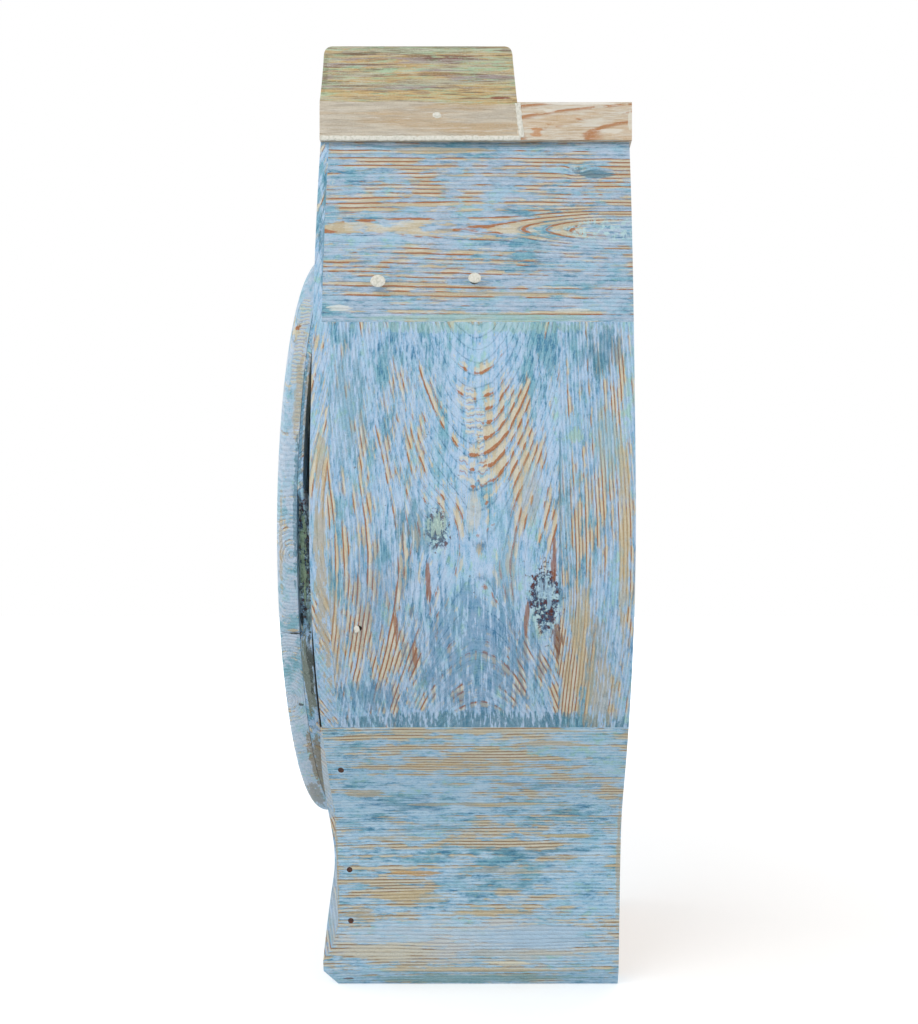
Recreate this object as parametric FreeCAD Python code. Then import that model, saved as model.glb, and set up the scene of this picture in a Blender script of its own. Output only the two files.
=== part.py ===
import FreeCAD, Part
import math
import os

# The head of a painted longcase clock of the mora kind: a bellied pine case with a round door, a sheet iron
# dial, and an eight day movement with going and striking trains. The front faces -Y and +Z is up. The origin
# is the middle of the bottom of the whole head.

Vector = FreeCAD.Vector

# Shared fits
overrun = 2.0
turning_gap = 0.3
end_float = 0.3
segment_gap = 0.3
half_share = 0.5

# Case
case_depth = 188.5
belly_room = 15.0
side_thickness = 22.0
front_board_thickness = 10.5
front_lip_thickness = 5.2
back_board_thickness = 12.0
back_board_gap = 0.8
top_board_thickness = 12.0
lower_plank_height = 187.0
middle_plank_height = 243.0
upper_plank_height = 115.0
dial_opening_radius = 158.0
# Heights are shares of case_height and widths are shares of case_half_width.
belly_shares = (
    (0.0, 0.455),
    (0.090, 0.497),
    (0.165, 0.530),
    (0.224, 0.578),
    (0.275, 0.673),
    (0.343, 0.800),
    (0.446, 0.936),
    (0.530, 0.992),
    (0.585, 1.0),
    (0.681, 0.980),
    (0.789, 0.944),
    (0.886, 0.900),
    (1.0, 0.818),
)

# Foot and neck apron
foot_flare = 11.0
foot_toe = 2.0
foot_chamfer_height = 11.0
foot_chamfer_inset = 4.0
foot_flare_height = 18.0
plank_flare_height = 47.0
plank_flare_mid_share = 0.3
apron_ring_clearance = 3.0
# Heights are shares of lower_plank_height and reaches are shares of foot_flare.
apron_profile_shares = (
    (0.096, 1.0),
    (0.203, 0.77),
    (0.358, 0.39),
    (0.470, 0.12),
    (0.560, 0.16),
    (0.670, 0.33),
    (0.780, 0.36),
    (1.0, 0.08),
)

# Door ring and glass
ring_width = 45.0
ring_opening_gap = 2.0
ring_centre_rise = 120.0
ring_front_thickness = 12.5
ring_rear_thickness = 7.5
ring_gap = 2.5
ring_edge_round = 5.0
ring_inner_step = 3.5
ring_inner_slope = 11.0
glass_rebate = 8.0
glass_thickness = 2.0
glass_clearance = 0.5
putty_height = 4.0
putty_width = 6.5
ring_segments = 3
front_joint_deg = -17.0
rear_joint_deg = 43.0

# Door hinges
hinge_spacing = 90.0
hinge_rim_gap = 5.0
hinge_knuckle_radius = 3.0
hinge_pin_radius = 1.2
hinge_leaf_length = 24.0
hinge_leaf_height = 21.0
hinge_leaf_thickness = 1.0
hinge_axis_height = 3.3

# Crest and rear cornice
crest_overhang = 4.04
crest_shoulder_inset = 16.0
crest_side_width = 34.0
crest_band_height = 23.0
crest_side_height = 66.0
crest_corner_round = 7.0
crest_rise = 28.0
crest_depth = 120.0
crest_back_slope = 3.0
crest_edge_round = 8.0
crest_front_thickness = 14.0
crest_back_thickness = 10.0
crest_lid_thickness = 8.0
crest_cove_share = 0.42
cornice_height = 23.0
cornice_width = 40.0
cornice_overhang = 1.2

# Seat for the movement
seat_thickness = 20.0
seat_end_gap = 0.5
seat_dial_gap = 2.0
bearer_height = 18.0
bearer_width = 26.0
line_slot_width = 58.0
line_slot_depth = 34.0
pendulum_slot_width = 70.0
pendulum_slot_depth = 26.0

# Glue blocks
glue_block_side = 18.0
glue_block_height = 34.0
# Shares of the room for a block between the floor and the bearers, and between the seat and the top board
low_block_shares = (0.57, 0.90)
high_block_shares = (0.28, 0.57, 0.97)

# Nails and filler plugs in the side planks
nail_radius = 1.9
nail_length = 18.0
nail_edge_inset = 3.2
nail_height_shares = (0.0862, 0.152, 0.287, 0.84, 0.95)
plug_radius = 3.2
plug_depth = 7.0
small_plug_radius = 1.6
# Heights are shares of case_height and depths are shares of case_depth behind the front face.
plug_place_shares = ((0.834, 0.199), (0.837, 0.503))
small_plug_place_shares = ((0.459, 0.145),)
crest_plug_height = 15.5
crest_plug_depth = 71.0

# Dial
dial_overlap = 4.0
dial_thickness = 1.5
dial_setback = 14.0
dial_centre_hole_radius = 7.0
winding_hole_radius = 6.5
dial_foot_radius = 3.0
dial_foot_across = 60.0
dial_foot_low = 52.0
dial_foot_high = 66.0

# Movement frame, with heights from the dial centre and depths from the back of the dial
plate_half_width = 84.0
plate_low = 75.0
plate_high = 92.0
plate_thickness = 3.0
plate_setback = 18.0
plate_spacing = 62.0
pillar_radius = 4.5
pillar_across = 76.0
pillar_low = 62.0
pillar_high = 80.0
seat_bolt_radius = 2.5
seat_bolt_head_radius = 5.5
seat_bolt_head_height = 4.0

# Wheels and pinions
arbor_radius = 1.6
pivot_radius = 1.2
pinion_length = 5.5
wheel_thickness = 2.0
wheel_rim = 3.2
wheel_hub_radius = 5.0
wheel_arm_width = 3.6
wheel_arms = 4
wheel_addendum_share = 0.85
wheel_dedendum_share = 1.25
wheel_tooth_share = 0.40
wheel_tip_share = 0.16
leaf_addendum_share = 0.55
leaf_dedendum_share = 1.3
leaf_tooth_share = 0.30
leaf_tip_share = 0.16
great_module = 0.8
centre_module = 0.7
third_module = 0.6
pin_module = 0.6
warning_module = 0.5
hour_module = 0.6
great_teeth = 96
strike_great_teeth = 84
centre_leaves = 8
centre_teeth = 80
third_leaves = 10
third_teeth = 75
escape_leaves = 10
escape_teeth = 30
pin_leaves = 8
pin_teeth = 80
warning_leaves = 8
warning_teeth = 64
fly_leaves = 8
cannon_teeth = 30
minute_teeth = 40
minute_leaves = 8
hour_teeth = 72
drum_across = 41.2
drum_fall = 6.0
third_bearing_deg = 100.0
pin_bearing_deg = 79.0
warning_bearing_deg = 110.0
fly_bearing_deg = 60.0

# Places of the wheels behind the front plate
great_wheel_setback = 3.2
great_wheel_thickness = 2.6
strike_great_setback = 9.5
drum_radius = 22.0
drum_back_gap = 20.0
drum_flange_radius = 25.0
drum_flange_thickness = 1.6
drum_arbor_radius = 3.2
winding_square_side = 4.4
winding_square_length = 9.0
centre_wheel_setback = 55.0
third_wheel_setback = 43.0
escape_wheel_setback = 36.0
pin_wheel_setback = 50.6
warning_wheel_setback = 17.0

# Escapement
escape_radius = 17.0
escape_tooth_height = 3.6
escape_thickness = 1.6
escape_lean_share = 0.25
anchor_rise = 25.4
anchor_hub_radius = 4.0
anchor_arm_width = 4.0
anchor_thickness = 3.0
pallet_reach = 17.4
pallet_drop = 9.8
pallet_width = 3.0
pallet_length = 4.4
crutch_gap = 6.0
crutch_thickness = 2.0
crutch_width = 4.0
crutch_length = 96.0
crutch_fork_width = 12.0
crutch_fork_depth = 12.0

# Striking parts
strike_pins = 8
strike_pin_radius = 1.0
strike_pin_length = 5.0
strike_pin_circle = 19.0
fly_radius = 12.0
fly_thickness = 0.8
fly_length = 22.0
fly_front_gap = 32.0
hammer_across = 66.0
hammer_rise = 40.0
hammer_arm_radius = 1.6
hammer_setback = 48.0
hammer_head_radius = 5.0
hammer_head_length = 9.0
hammer_tail_length = 10.0
hammer_tail_drop = 3.0
hammer_bell_gap = 1.5
bell_radius = 38.0
bell_height = 28.0
bell_wall = 2.4
bell_rim_rise = 118.0
bell_lip = 3.0
bell_crown_radius = 9.0
bell_waist_share = 0.86
bell_waist_height_share = 0.62
bell_setback = 48.0
bell_post_radius = 3.0
bell_post_head = 5.0
bell_post_head_height = 4.0
bell_strap_width = 12.0
bell_strap_thickness = 3.0
bell_strap_across = 30.0
bell_strap_low = 50.0
bell_strap_drop = 9.0

# Suspension cock behind the back plate
cock_half_width = 22.0
cock_leg_width = 8.0
cock_leg_height = 7.0
cock_reach = 18.0
cock_bridge_thickness = 3.0
cock_bridge_drop = 12.0
cock_slit = 1.4

# Hands and motion work, with depths in front of the dial
cannon_bore_radius = 1.9
cannon_pipe_radius = 3.2
hour_pipe_bore_radius = 3.6
hour_pipe_radius = 5.2
hour_hand_forward = 9.0
minute_hand_forward = 13.8
hand_thickness = 1.2
hour_hand_length = 88.0
hour_hand_tail = 16.0
hour_hand_width = 9.0
minute_hand_length = 132.0
minute_hand_tail = 26.0
minute_hand_width = 7.0
hand_hub_radius = 9.0
hand_tip_width = 1.2
hand_spade_share = 0.72
hour_hand_deg = -55.0
minute_hand_deg = 60.0
collet_radius = 5.0
collet_height = 2.0
hour_wheel_back = 4.0
cannon_wheel_back = 10.5
minute_arbor_tail = 3.0

# Places that follow from the sizes above
lower_joint_height = lower_plank_height
upper_joint_height = lower_joint_height + middle_plank_height
case_height = upper_joint_height + upper_plank_height
ring_centre_height = lower_joint_height + ring_centre_rise
ring_inner_radius = dial_opening_radius + ring_opening_gap
ring_radius = ring_inner_radius + ring_width
dial_radius = dial_opening_radius + dial_overlap
case_half_width = ring_radius + belly_room
crest_half_width = belly_shares[-1][1] * case_half_width + crest_overhang
crest_shoulder_half_width = crest_half_width - crest_shoulder_inset
total_depth = ring_front_thickness + ring_rear_thickness + ring_gap + case_depth + cornice_overhang
ring_front_y = -total_depth / 2
ring_joint_y = ring_front_y + ring_front_thickness
ring_back_y = ring_joint_y + ring_rear_thickness
case_front_y = ring_back_y + ring_gap
case_back_y = case_front_y + case_depth
board_back_y = case_front_y + front_board_thickness
back_board_y = case_back_y - back_board_thickness
dial_front_y = case_front_y + dial_setback
dial_back_y = dial_front_y + dial_thickness
front_plate_y = dial_back_y + plate_setback
frame_front_y = front_plate_y + plate_thickness
frame_back_y = frame_front_y + plate_spacing
back_plate_y = frame_back_y + plate_thickness
seat_top_height = ring_centre_height - plate_low
seat_low_height = seat_top_height - seat_thickness
bearer_low_height = seat_low_height - bearer_height
hinge_x = -ring_radius - hinge_rim_gap
hinge_y = case_front_y - hinge_axis_height
seat_front_y = dial_back_y + seat_dial_gap


def box(x0, x1, y0, y1, z0, z1):
    """A block between two corners."""
    return Part.makeBox(x1 - x0, y1 - y0, z1 - z0, Vector(x0, y0, z0))


def rod(radius, x, z, y0, y1):
    """A cylinder along Y, placed from the dial centre."""
    return Part.makeCylinder(radius, y1 - y0, Vector(x, y0, ring_centre_height + z), Vector(0, 1, 0))


def upright(radius, x, y, z0, z1):
    """A cylinder along Z."""
    return Part.makeCylinder(radius, z1 - z0, Vector(x, y, z0))


def fuse_all(solids):
    """One solid from touching ones."""
    whole = solids[0]
    for solid in solids[1:]:
        whole = whole.fuse(solid)
    return whole.removeSplitter()


def cut_all(solid, tools):
    """A solid with a list of tools taken away."""
    for tool in tools:
        solid = solid.cut(tool)
    return solid


def mirrored(shape):
    """The same piece on the other side of the clock."""
    return shape.mirror(Vector(0, 0, 0), Vector(1, 0, 0))


def prism(points, push):
    """A flat outline pushed along a vector."""
    return Part.Face(Part.makePolygon(points + points[:1])).extrude(push)


def export(name, solids):
    """Write one node, which may hold several separate solids."""
    shape = solids[0] if len(solids) == 1 else Part.makeCompound(solids)
    shape.exportStep("parts/" + name + ".step")
    print(name, round(shape.Volume), shape.isValid())


def spline(points):
    """A smooth curve through points."""
    curve = Part.BSplineCurve()
    curve.interpolate(points)
    return curve


def belly_points(inset):
    """Points of the side outline at +X, drawn in by an inset."""
    points = []
    for height, width in belly_shares:
        points.append(Vector(width * case_half_width - inset, 0, height * case_height))
    return points


outer_curve = spline(belly_points(0))
inner_curve = spline(belly_points(side_thickness))


def width_at(height):
    """Half width of the case at a height, found by halving the curve's range."""
    low, high = outer_curve.FirstParameter, outer_curve.LastParameter
    for _ in range(50):
        middle = (low + high) / 2
        if outer_curve.value(middle).z < height:
            low = middle
        else:
            high = middle
    return outer_curve.value(low).x


def region(curve, y0, y1):
    """The solid inside a side curve and its mirror image, between two depths."""
    low = curve.value(curve.FirstParameter)
    high = curve.value(curve.LastParameter)
    side = curve.toShape()
    other = mirrored(side)
    bottom = Part.makeLine(Vector(-low.x, 0, low.z), low)
    top = Part.makeLine(high, Vector(-high.x, 0, high.z))
    wire = Part.Wire(Part.__sortEdges__([bottom, side, top, other]))
    solid = Part.Face(wire).extrude(Vector(0, y1 - y0, 0))
    solid.translate(Vector(0, y0, 0))
    return solid


def side_shell(y0, y1, z0, z1):
    """The +X wall of the case between two depths and two heights."""
    slab = box(0, case_half_width + overrun, y0, y1, z0, z1)
    return slab.common(region(outer_curve, y0, y1)).cut(region(inner_curve, y0 - overrun, y1 + overrun))


def inside(x0, x1, y0, y1, z0, z1):
    """A block trimmed to the room between the side planks."""
    return box(x0, x1, y0, y1, z0, z1).common(region(inner_curve, y0, y1))


def foot_profile():
    """Side view of the lower plank, whose front edge flares out to the foot."""
    toe_y = case_front_y - foot_toe
    flare_y = case_front_y - foot_flare
    middle = Vector(
        0,
        case_front_y - plank_flare_mid_share * foot_flare,
        (foot_flare_height + plank_flare_height) / 2,
    )
    bow_start = Vector(0, flare_y, foot_flare_height)
    bow_end = Vector(0, case_front_y, plank_flare_height)
    corners = [
        bow_end,
        Vector(0, case_front_y, lower_joint_height),
        Vector(0, case_back_y, lower_joint_height),
        Vector(0, case_back_y, 0),
        Vector(0, toe_y, 0),
        Vector(0, flare_y, foot_chamfer_height),
        bow_start,
    ]
    edges = [Part.makeLine(start, end) for start, end in zip(corners, corners[1:])]
    edges.append(Part.Arc(bow_start, middle, bow_end).toShape())
    face = Part.Face(Part.Wire(Part.__sortEdges__(edges)))
    return face.extrude(Vector(case_half_width, 0, 0))


def foot_chamfer():
    """Tool for the sloped band along the bottom of a side plank."""
    low = width_at(0) - foot_chamfer_inset
    high = width_at(foot_chamfer_height)
    far = high + overrun + foot_chamfer_inset
    points = [Vector(low, 0, 0), Vector(high, 0, foot_chamfer_height), Vector(far, 0, foot_chamfer_height)]
    points += [Vector(far, 0, -overrun), Vector(low, 0, -overrun)]
    tool = prism(points, Vector(0, case_depth + foot_flare + overrun, 0))
    tool.translate(Vector(0, case_front_y - foot_flare - overrun, 0))
    return tool


def make_side_planks():
    """The three planks of the +X side, from the bottom up."""
    lower = side_shell(case_front_y - foot_flare, case_back_y, 0, lower_joint_height)
    lower = lower.common(foot_profile()).cut(foot_chamfer())
    middle = side_shell(board_back_y, case_back_y, lower_joint_height, upper_joint_height)
    upper = side_shell(case_front_y + front_lip_thickness, case_back_y, upper_joint_height, case_height)
    return lower, middle, upper


def ring_recess(radius, y0, y1):
    """A disc on the door's axis, as a cutting tool."""
    return rod(radius, 0, 0, y0, y1)


def make_neck_apron(lower):
    """The carved front board of the neck, hollowed to a scotia and flared at the foot."""
    flare_y = case_front_y - foot_flare
    points = [Vector(0, board_back_y, 0), Vector(0, case_front_y - foot_toe, 0)]
    points.append(Vector(0, flare_y, foot_chamfer_height))
    bow = [
        Vector(0, case_front_y - reach * foot_flare, height * lower_joint_height)
        for height, reach in apron_profile_shares
    ]
    points.append(bow[0])
    edges = [Part.makeLine(start, end) for start, end in zip(points, points[1:])]
    edges.append(spline(bow).toShape())
    back = Vector(0, board_back_y, lower_joint_height)
    edges.append(Part.makeLine(bow[-1], back))
    edges.append(Part.makeLine(back, points[0]))
    face = Part.Face(Part.Wire(Part.__sortEdges__(edges)))
    board = face.extrude(Vector(2 * case_half_width, 0, 0))
    board.translate(Vector(-case_half_width, 0, 0))
    board = board.common(region(outer_curve, flare_y, board_back_y))
    board = board.cut(ring_recess(ring_radius + apron_ring_clearance, flare_y - overrun, case_front_y))
    board = board.cut(ring_recess(dial_opening_radius, case_front_y - overrun, board_back_y + overrun))
    chamfer = foot_chamfer()
    return cut_all(board, [lower, mirrored(lower), chamfer, mirrored(chamfer)])


def make_front_boards(upper):
    """The two halves of the front around the dial opening, right half first."""
    face = region(outer_curve, case_front_y, board_back_y)
    opening = ring_recess(dial_opening_radius, case_front_y - overrun, board_back_y + overrun)
    right = face.common(
        box(0, case_half_width, case_front_y, board_back_y, lower_joint_height, case_height)
    )
    right = cut_all(right, [opening, upper])
    return right, mirrored(right)


def make_back_boards():
    """Two boards between the side planks, with a shrinkage gap in the middle."""
    right = inside(back_board_gap / 2, case_half_width, back_board_y, case_back_y, 0, case_height)
    return right, mirrored(right)


def make_top_board():
    """The board that closes the case under the crest."""
    low = case_height - top_board_thickness
    return inside(-case_half_width, case_half_width, board_back_y, back_board_y, low, case_height)


def crest_edge_profile():
    """Side view of the crest: rounded upper corners and a back that leans forward."""
    band = case_height + crest_band_height
    top = case_height + crest_side_height
    back = case_front_y + crest_depth
    lean = back - crest_back_slope
    turn = crest_edge_round * (1 - math.cos(math.pi / 4))
    front_start = Vector(0, case_front_y, top - crest_edge_round)
    front_middle = Vector(0, case_front_y + turn, top - turn)
    front_end = Vector(0, case_front_y + crest_edge_round, top)
    back_start = Vector(0, lean - crest_edge_round, top)
    back_middle = Vector(0, lean - turn, top - turn)
    back_end = Vector(0, lean, top - crest_edge_round)
    corners = [
        back_end,
        Vector(0, back, band),
        Vector(0, back, case_height),
        Vector(0, case_front_y, case_height),
        front_start,
    ]
    edges = [Part.makeLine(start, end) for start, end in zip(corners, corners[1:])]
    edges.append(Part.Arc(front_start, front_middle, front_end).toShape())
    edges.append(Part.makeLine(front_end, back_start))
    edges.append(Part.Arc(back_start, back_middle, back_end).toShape())
    face = Part.Face(Part.Wire(Part.__sortEdges__(edges)))
    return face.extrude(Vector(crest_half_width, 0, 0))


def make_crest_side():
    """The deep return of the crest at +X: an upright band with a cove and a rounded shoulder above it."""
    inner = crest_half_width - crest_side_width
    band = case_height + crest_band_height
    top = case_height + crest_side_height
    shoulder = Vector(crest_shoulder_half_width, 0, top - crest_corner_round)
    band_top = Vector(crest_half_width, 0, band)
    cove_x = crest_shoulder_half_width + crest_cove_share * (crest_half_width - crest_shoulder_half_width)
    cove = Vector(cove_x, 0, (band + shoulder.z) / 2)
    turn = crest_corner_round * (1 - math.cos(math.pi / 4))
    round_middle = Vector(crest_shoulder_half_width - turn, 0, top - turn)
    round_end = Vector(crest_shoulder_half_width - crest_corner_round, 0, top)
    corners = [round_end, Vector(inner, 0, top), Vector(inner, 0, case_height)]
    corners += [Vector(crest_half_width, 0, case_height), band_top]
    edges = [Part.makeLine(start, end) for start, end in zip(corners, corners[1:])]
    edges.append(Part.Arc(band_top, cove, shoulder).toShape())
    edges.append(Part.Arc(shoulder, round_middle, round_end).toShape())
    block = Part.Face(Part.Wire(Part.__sortEdges__(edges))).extrude(Vector(0, crest_depth, 0))
    block.translate(Vector(0, case_front_y, 0))
    return block.common(crest_edge_profile())


def crest_arch(drop, y0, y1, foot):
    """The arched room between the crest sides, up to a drop below the top of the lid."""
    half = crest_half_width - crest_side_width
    side = case_height + crest_side_height - drop
    start, end = Vector(half, y0, side), Vector(-half, y0, side)
    edges = [Part.Arc(start, Vector(0, y0, side + crest_rise), end).toShape()]
    low_end, low_start = Vector(-half, y0, foot - drop), Vector(half, y0, foot - drop)
    edges.append(Part.makeLine(end, low_end))
    edges.append(Part.makeLine(low_end, low_start))
    edges.append(Part.makeLine(low_start, start))
    return Part.Face(Part.Wire(Part.__sortEdges__(edges))).extrude(Vector(0, y1 - y0, 0))


def make_crest():
    """The front, the back and the lid between the crest sides."""
    back = case_front_y + crest_depth - crest_back_slope
    foot = case_height + crest_lid_thickness
    front_y = case_front_y + crest_front_thickness
    front = crest_arch(crest_lid_thickness, case_front_y, front_y, foot)
    rear = crest_arch(crest_lid_thickness, back - crest_back_thickness, back, foot)
    under = crest_arch(crest_lid_thickness, case_front_y - overrun, back + overrun, foot)
    lid = crest_arch(0, case_front_y, back, foot).cut(under)
    return front, rear, lid


def make_cornice():
    """The low cornice block behind the crest at +X."""
    inner = crest_half_width - cornice_width
    low, high = case_height, case_height + cornice_height
    start = case_front_y + crest_depth
    return box(inner, crest_half_width, start, case_back_y + cornice_overhang, low, high)


def slot(x, y, width, depth):
    """Tool for a slot through the seat board."""
    low, high = seat_low_height - overrun, seat_top_height + overrun
    return box(x - width / 2, x + width / 2, y, y + depth, low, high)


def make_seat():
    """The board under the movement, with slots for two lines and the pendulum, and its two bearers."""
    low = seat_low_height
    span = case_half_width
    board = inside(-span, span, seat_front_y, back_board_y, low, seat_top_height)
    half = width_at(low) - side_thickness - seat_end_gap
    board = board.common(box(-half, half, seat_front_y, back_board_y, low, seat_top_height))
    line_y = frame_front_y + strike_great_setback + great_wheel_thickness
    tools = [slot(side * drum_across, line_y, line_slot_width, line_slot_depth) for side in (-1, 1)]
    tools.append(slot(0, back_plate_y, pendulum_slot_width, pendulum_slot_depth))
    bolt_y = (frame_front_y + frame_back_y) / 2
    tools += [upright(seat_bolt_radius, x, bolt_y, low - overrun, seat_top_height + overrun)
              for x in (-pillar_across, pillar_across)]
    board = cut_all(board, tools)
    bearer_start = width_at(bearer_low_height) - side_thickness - bearer_width
    right = inside(bearer_start, span, seat_front_y, back_board_y, bearer_low_height, low)
    return board, [right, mirrored(right)]


def make_glue_blocks():
    """Wedge blocks in the corners behind the front boards and before the back boards."""
    blocks = []
    high_room = case_height - top_board_thickness - glue_block_height - seat_top_height
    lows = [share * (bearer_low_height - glue_block_height) for share in low_block_shares]
    lows += [seat_top_height + share * high_room for share in high_block_shares]
    dial_room = ring_recess(dial_radius + seat_dial_gap, board_back_y, seat_front_y)
    for low in lows:
        start = width_at(low) - side_thickness - glue_block_side
        for y, turn in ((board_back_y, 1), (back_board_y, -1)):
            points = [Vector(start, y, low), Vector(case_half_width, y, low)]
            points.append(Vector(case_half_width, y + turn * (case_half_width - start), low))
            wedge = prism(points, Vector(0, 0, glue_block_height))
            limit = sorted((y, y + turn * glue_block_side))
            wedge = wedge.common(box(0, case_half_width, *limit, low, low + glue_block_height))
            wedge = wedge.common(region(inner_curve, *limit)).cut(dial_room)
            blocks += [wedge, mirrored(wedge)]
    return blocks


def side_pin(radius, length, y, z, plank_x):
    """A nail or plug driven in from the +X side."""
    return Part.makeCylinder(radius, length + overrun, Vector(plank_x - length, y, z), Vector(1, 0, 0))


def drive_in(planks, pins):
    """Cut pins into the planks that they meet, and trim their heads flush."""
    heads = []
    for pin in pins:
        for index, plank in enumerate(planks):
            head = pin.common(plank)
            if head.Volume > 0:
                heads.append(head)
                planks[index] = plank.cut(pin)
    return planks, heads


def make_fasteners(planks, crest_side):
    """Nails near the front edge, and filler plugs where old nails are sunk."""
    nails = []
    for share in nail_height_shares:
        height = share * case_height
        y = case_front_y + front_lip_thickness + nail_edge_inset
        nails.append(side_pin(nail_radius, nail_length, y, height, width_at(height)))
    plugs = []
    for radius, places in ((plug_radius, plug_place_shares), (small_plug_radius, small_plug_place_shares)):
        for height_share, depth_share in places:
            height = height_share * case_height
            y = case_front_y + depth_share * case_depth
            plugs.append(side_pin(radius, plug_depth, y, height, width_at(height)))
    planks, nail_heads = drive_in(planks, nails)
    planks, plug_heads = drive_in(planks, plugs)
    crest_pin = side_pin(
        small_plug_radius,
        plug_depth,
        case_front_y + crest_plug_depth,
        case_height + crest_plug_height,
        crest_half_width,
    )
    crest, crest_heads = drive_in([crest_side], [crest_pin])
    return planks, crest[0], nail_heads, plug_heads + crest_heads


def ring_piece(section, start_deg, sweep_deg):
    """Part of a turned ring: a section in radius and depth, swept about the door's axis."""
    centre = Vector(0, 0, ring_centre_height)
    points = [Vector(radius, depth, ring_centre_height) for radius, depth in section]
    face = Part.Face(Part.makePolygon(points + points[:1]))
    return turn_about(face, -start_deg).revolve(centre, Vector(0, 1, 0), -sweep_deg)


def turn_about(shape, degrees, x=0.0, z=0.0):
    """A copy turned about an axis along Y, placed from the dial centre, clockwise from the front."""
    copy = shape.copy()
    copy.rotate(Vector(x, 0, ring_centre_height + z), Vector(0, 1, 0), degrees)
    return copy


def front_layer_face():
    """Section of the front layer: a rounded outer edge and a slope down to the glass."""
    height = ring_centre_height
    turn = ring_edge_round * (1 - math.cos(math.pi / 4))
    inner_front = Vector(ring_inner_radius, ring_front_y + ring_inner_step, height)
    flat_start = Vector(ring_inner_radius + ring_inner_slope, ring_front_y, height)
    flat_end = Vector(ring_radius - ring_edge_round, ring_front_y, height)
    round_middle = Vector(ring_radius - turn, ring_front_y + turn, height)
    round_end = Vector(ring_radius, ring_front_y + ring_edge_round, height)
    corners = [round_end, Vector(ring_radius, ring_joint_y, height)]
    corners += [Vector(ring_inner_radius, ring_joint_y, height), inner_front, flat_start, flat_end]
    edges = [Part.makeLine(start, end) for start, end in zip(corners, corners[1:])]
    edges.append(Part.Arc(flat_end, round_middle, round_end).toShape())
    return Part.Face(Part.Wire(Part.__sortEdges__(edges)))


def make_ring_segments():
    """Front and rear layers of the door ring, each in equal segments with staggered joints."""
    gap_deg = math.degrees(segment_gap / ring_radius)
    sweep = 360 / ring_segments - gap_deg
    centre = Vector(0, 0, ring_centre_height)
    rear_section = (
        (ring_inner_radius + glass_rebate, ring_joint_y),
        (ring_radius, ring_joint_y),
        (ring_radius, ring_back_y),
        (ring_inner_radius + glass_rebate, ring_back_y),
    )
    front, rear = [], []
    for index in range(ring_segments):
        step = index * 360 / ring_segments
        face = turn_about(front_layer_face(), -front_joint_deg - step)
        front.append(face.revolve(centre, Vector(0, 1, 0), -sweep))
        rear.append(ring_piece(rear_section, rear_joint_deg + step, sweep))
    return front, rear


def make_glazing():
    """The round pane and the putty bead that holds it in the ring."""
    pane_radius = ring_inner_radius + glass_rebate - glass_clearance
    pane_back = ring_joint_y + glass_thickness
    pane = rod(pane_radius, 0, 0, ring_joint_y, pane_back)
    outer = ring_inner_radius + glass_rebate
    bead_section = (
        (outer - putty_width, pane_back),
        (outer, pane_back),
        (outer, pane_back + putty_height),
    )
    return pane, ring_piece(bead_section, 0, 360)


def make_hinges():
    """Two butt hinges at the -X side, whose leaves lie folded between the door and the case."""
    case_leaves, door_leaves, pins = [], [], []
    knuckle = hinge_leaf_height / 3
    inner_x = hinge_x + hinge_leaf_length
    clear_x = hinge_x + hinge_knuckle_radius + turning_gap
    for side in (-1, 1):
        middle = ring_centre_height + side * hinge_spacing / 2
        low, high = middle - hinge_leaf_height / 2, middle + hinge_leaf_height / 2
        case_y = (case_front_y - hinge_leaf_thickness, case_front_y)
        door_y = (ring_back_y, ring_back_y + hinge_leaf_thickness)
        case_parts = [box(clear_x, inner_x, *case_y, low, high)]
        for start, end in ((low, low + knuckle), (high - knuckle, high)):
            case_parts.append(box(hinge_x, inner_x, *case_y, start, end))
            case_parts.append(upright(hinge_knuckle_radius, hinge_x, hinge_y, start, end))
        pin = upright(hinge_pin_radius, hinge_x, hinge_y, low, high)
        case_leaves.append(fuse_all(case_parts).cut(pin))
        door_low, door_high = low + knuckle + turning_gap, high - knuckle - turning_gap
        door_parts = [box(clear_x, inner_x, *door_y, low, high)]
        door_parts.append(box(hinge_x, inner_x, *door_y, door_low, door_high))
        door_parts.append(upright(hinge_knuckle_radius, hinge_x, hinge_y, door_low, door_high))
        bore = upright(hinge_pin_radius + turning_gap, hinge_x, hinge_y, low - overrun, high + overrun)
        door_leaves.append(fuse_all(door_parts).cut(bore))
        pins.append(pin)
    return case_leaves, door_leaves, pins


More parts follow.
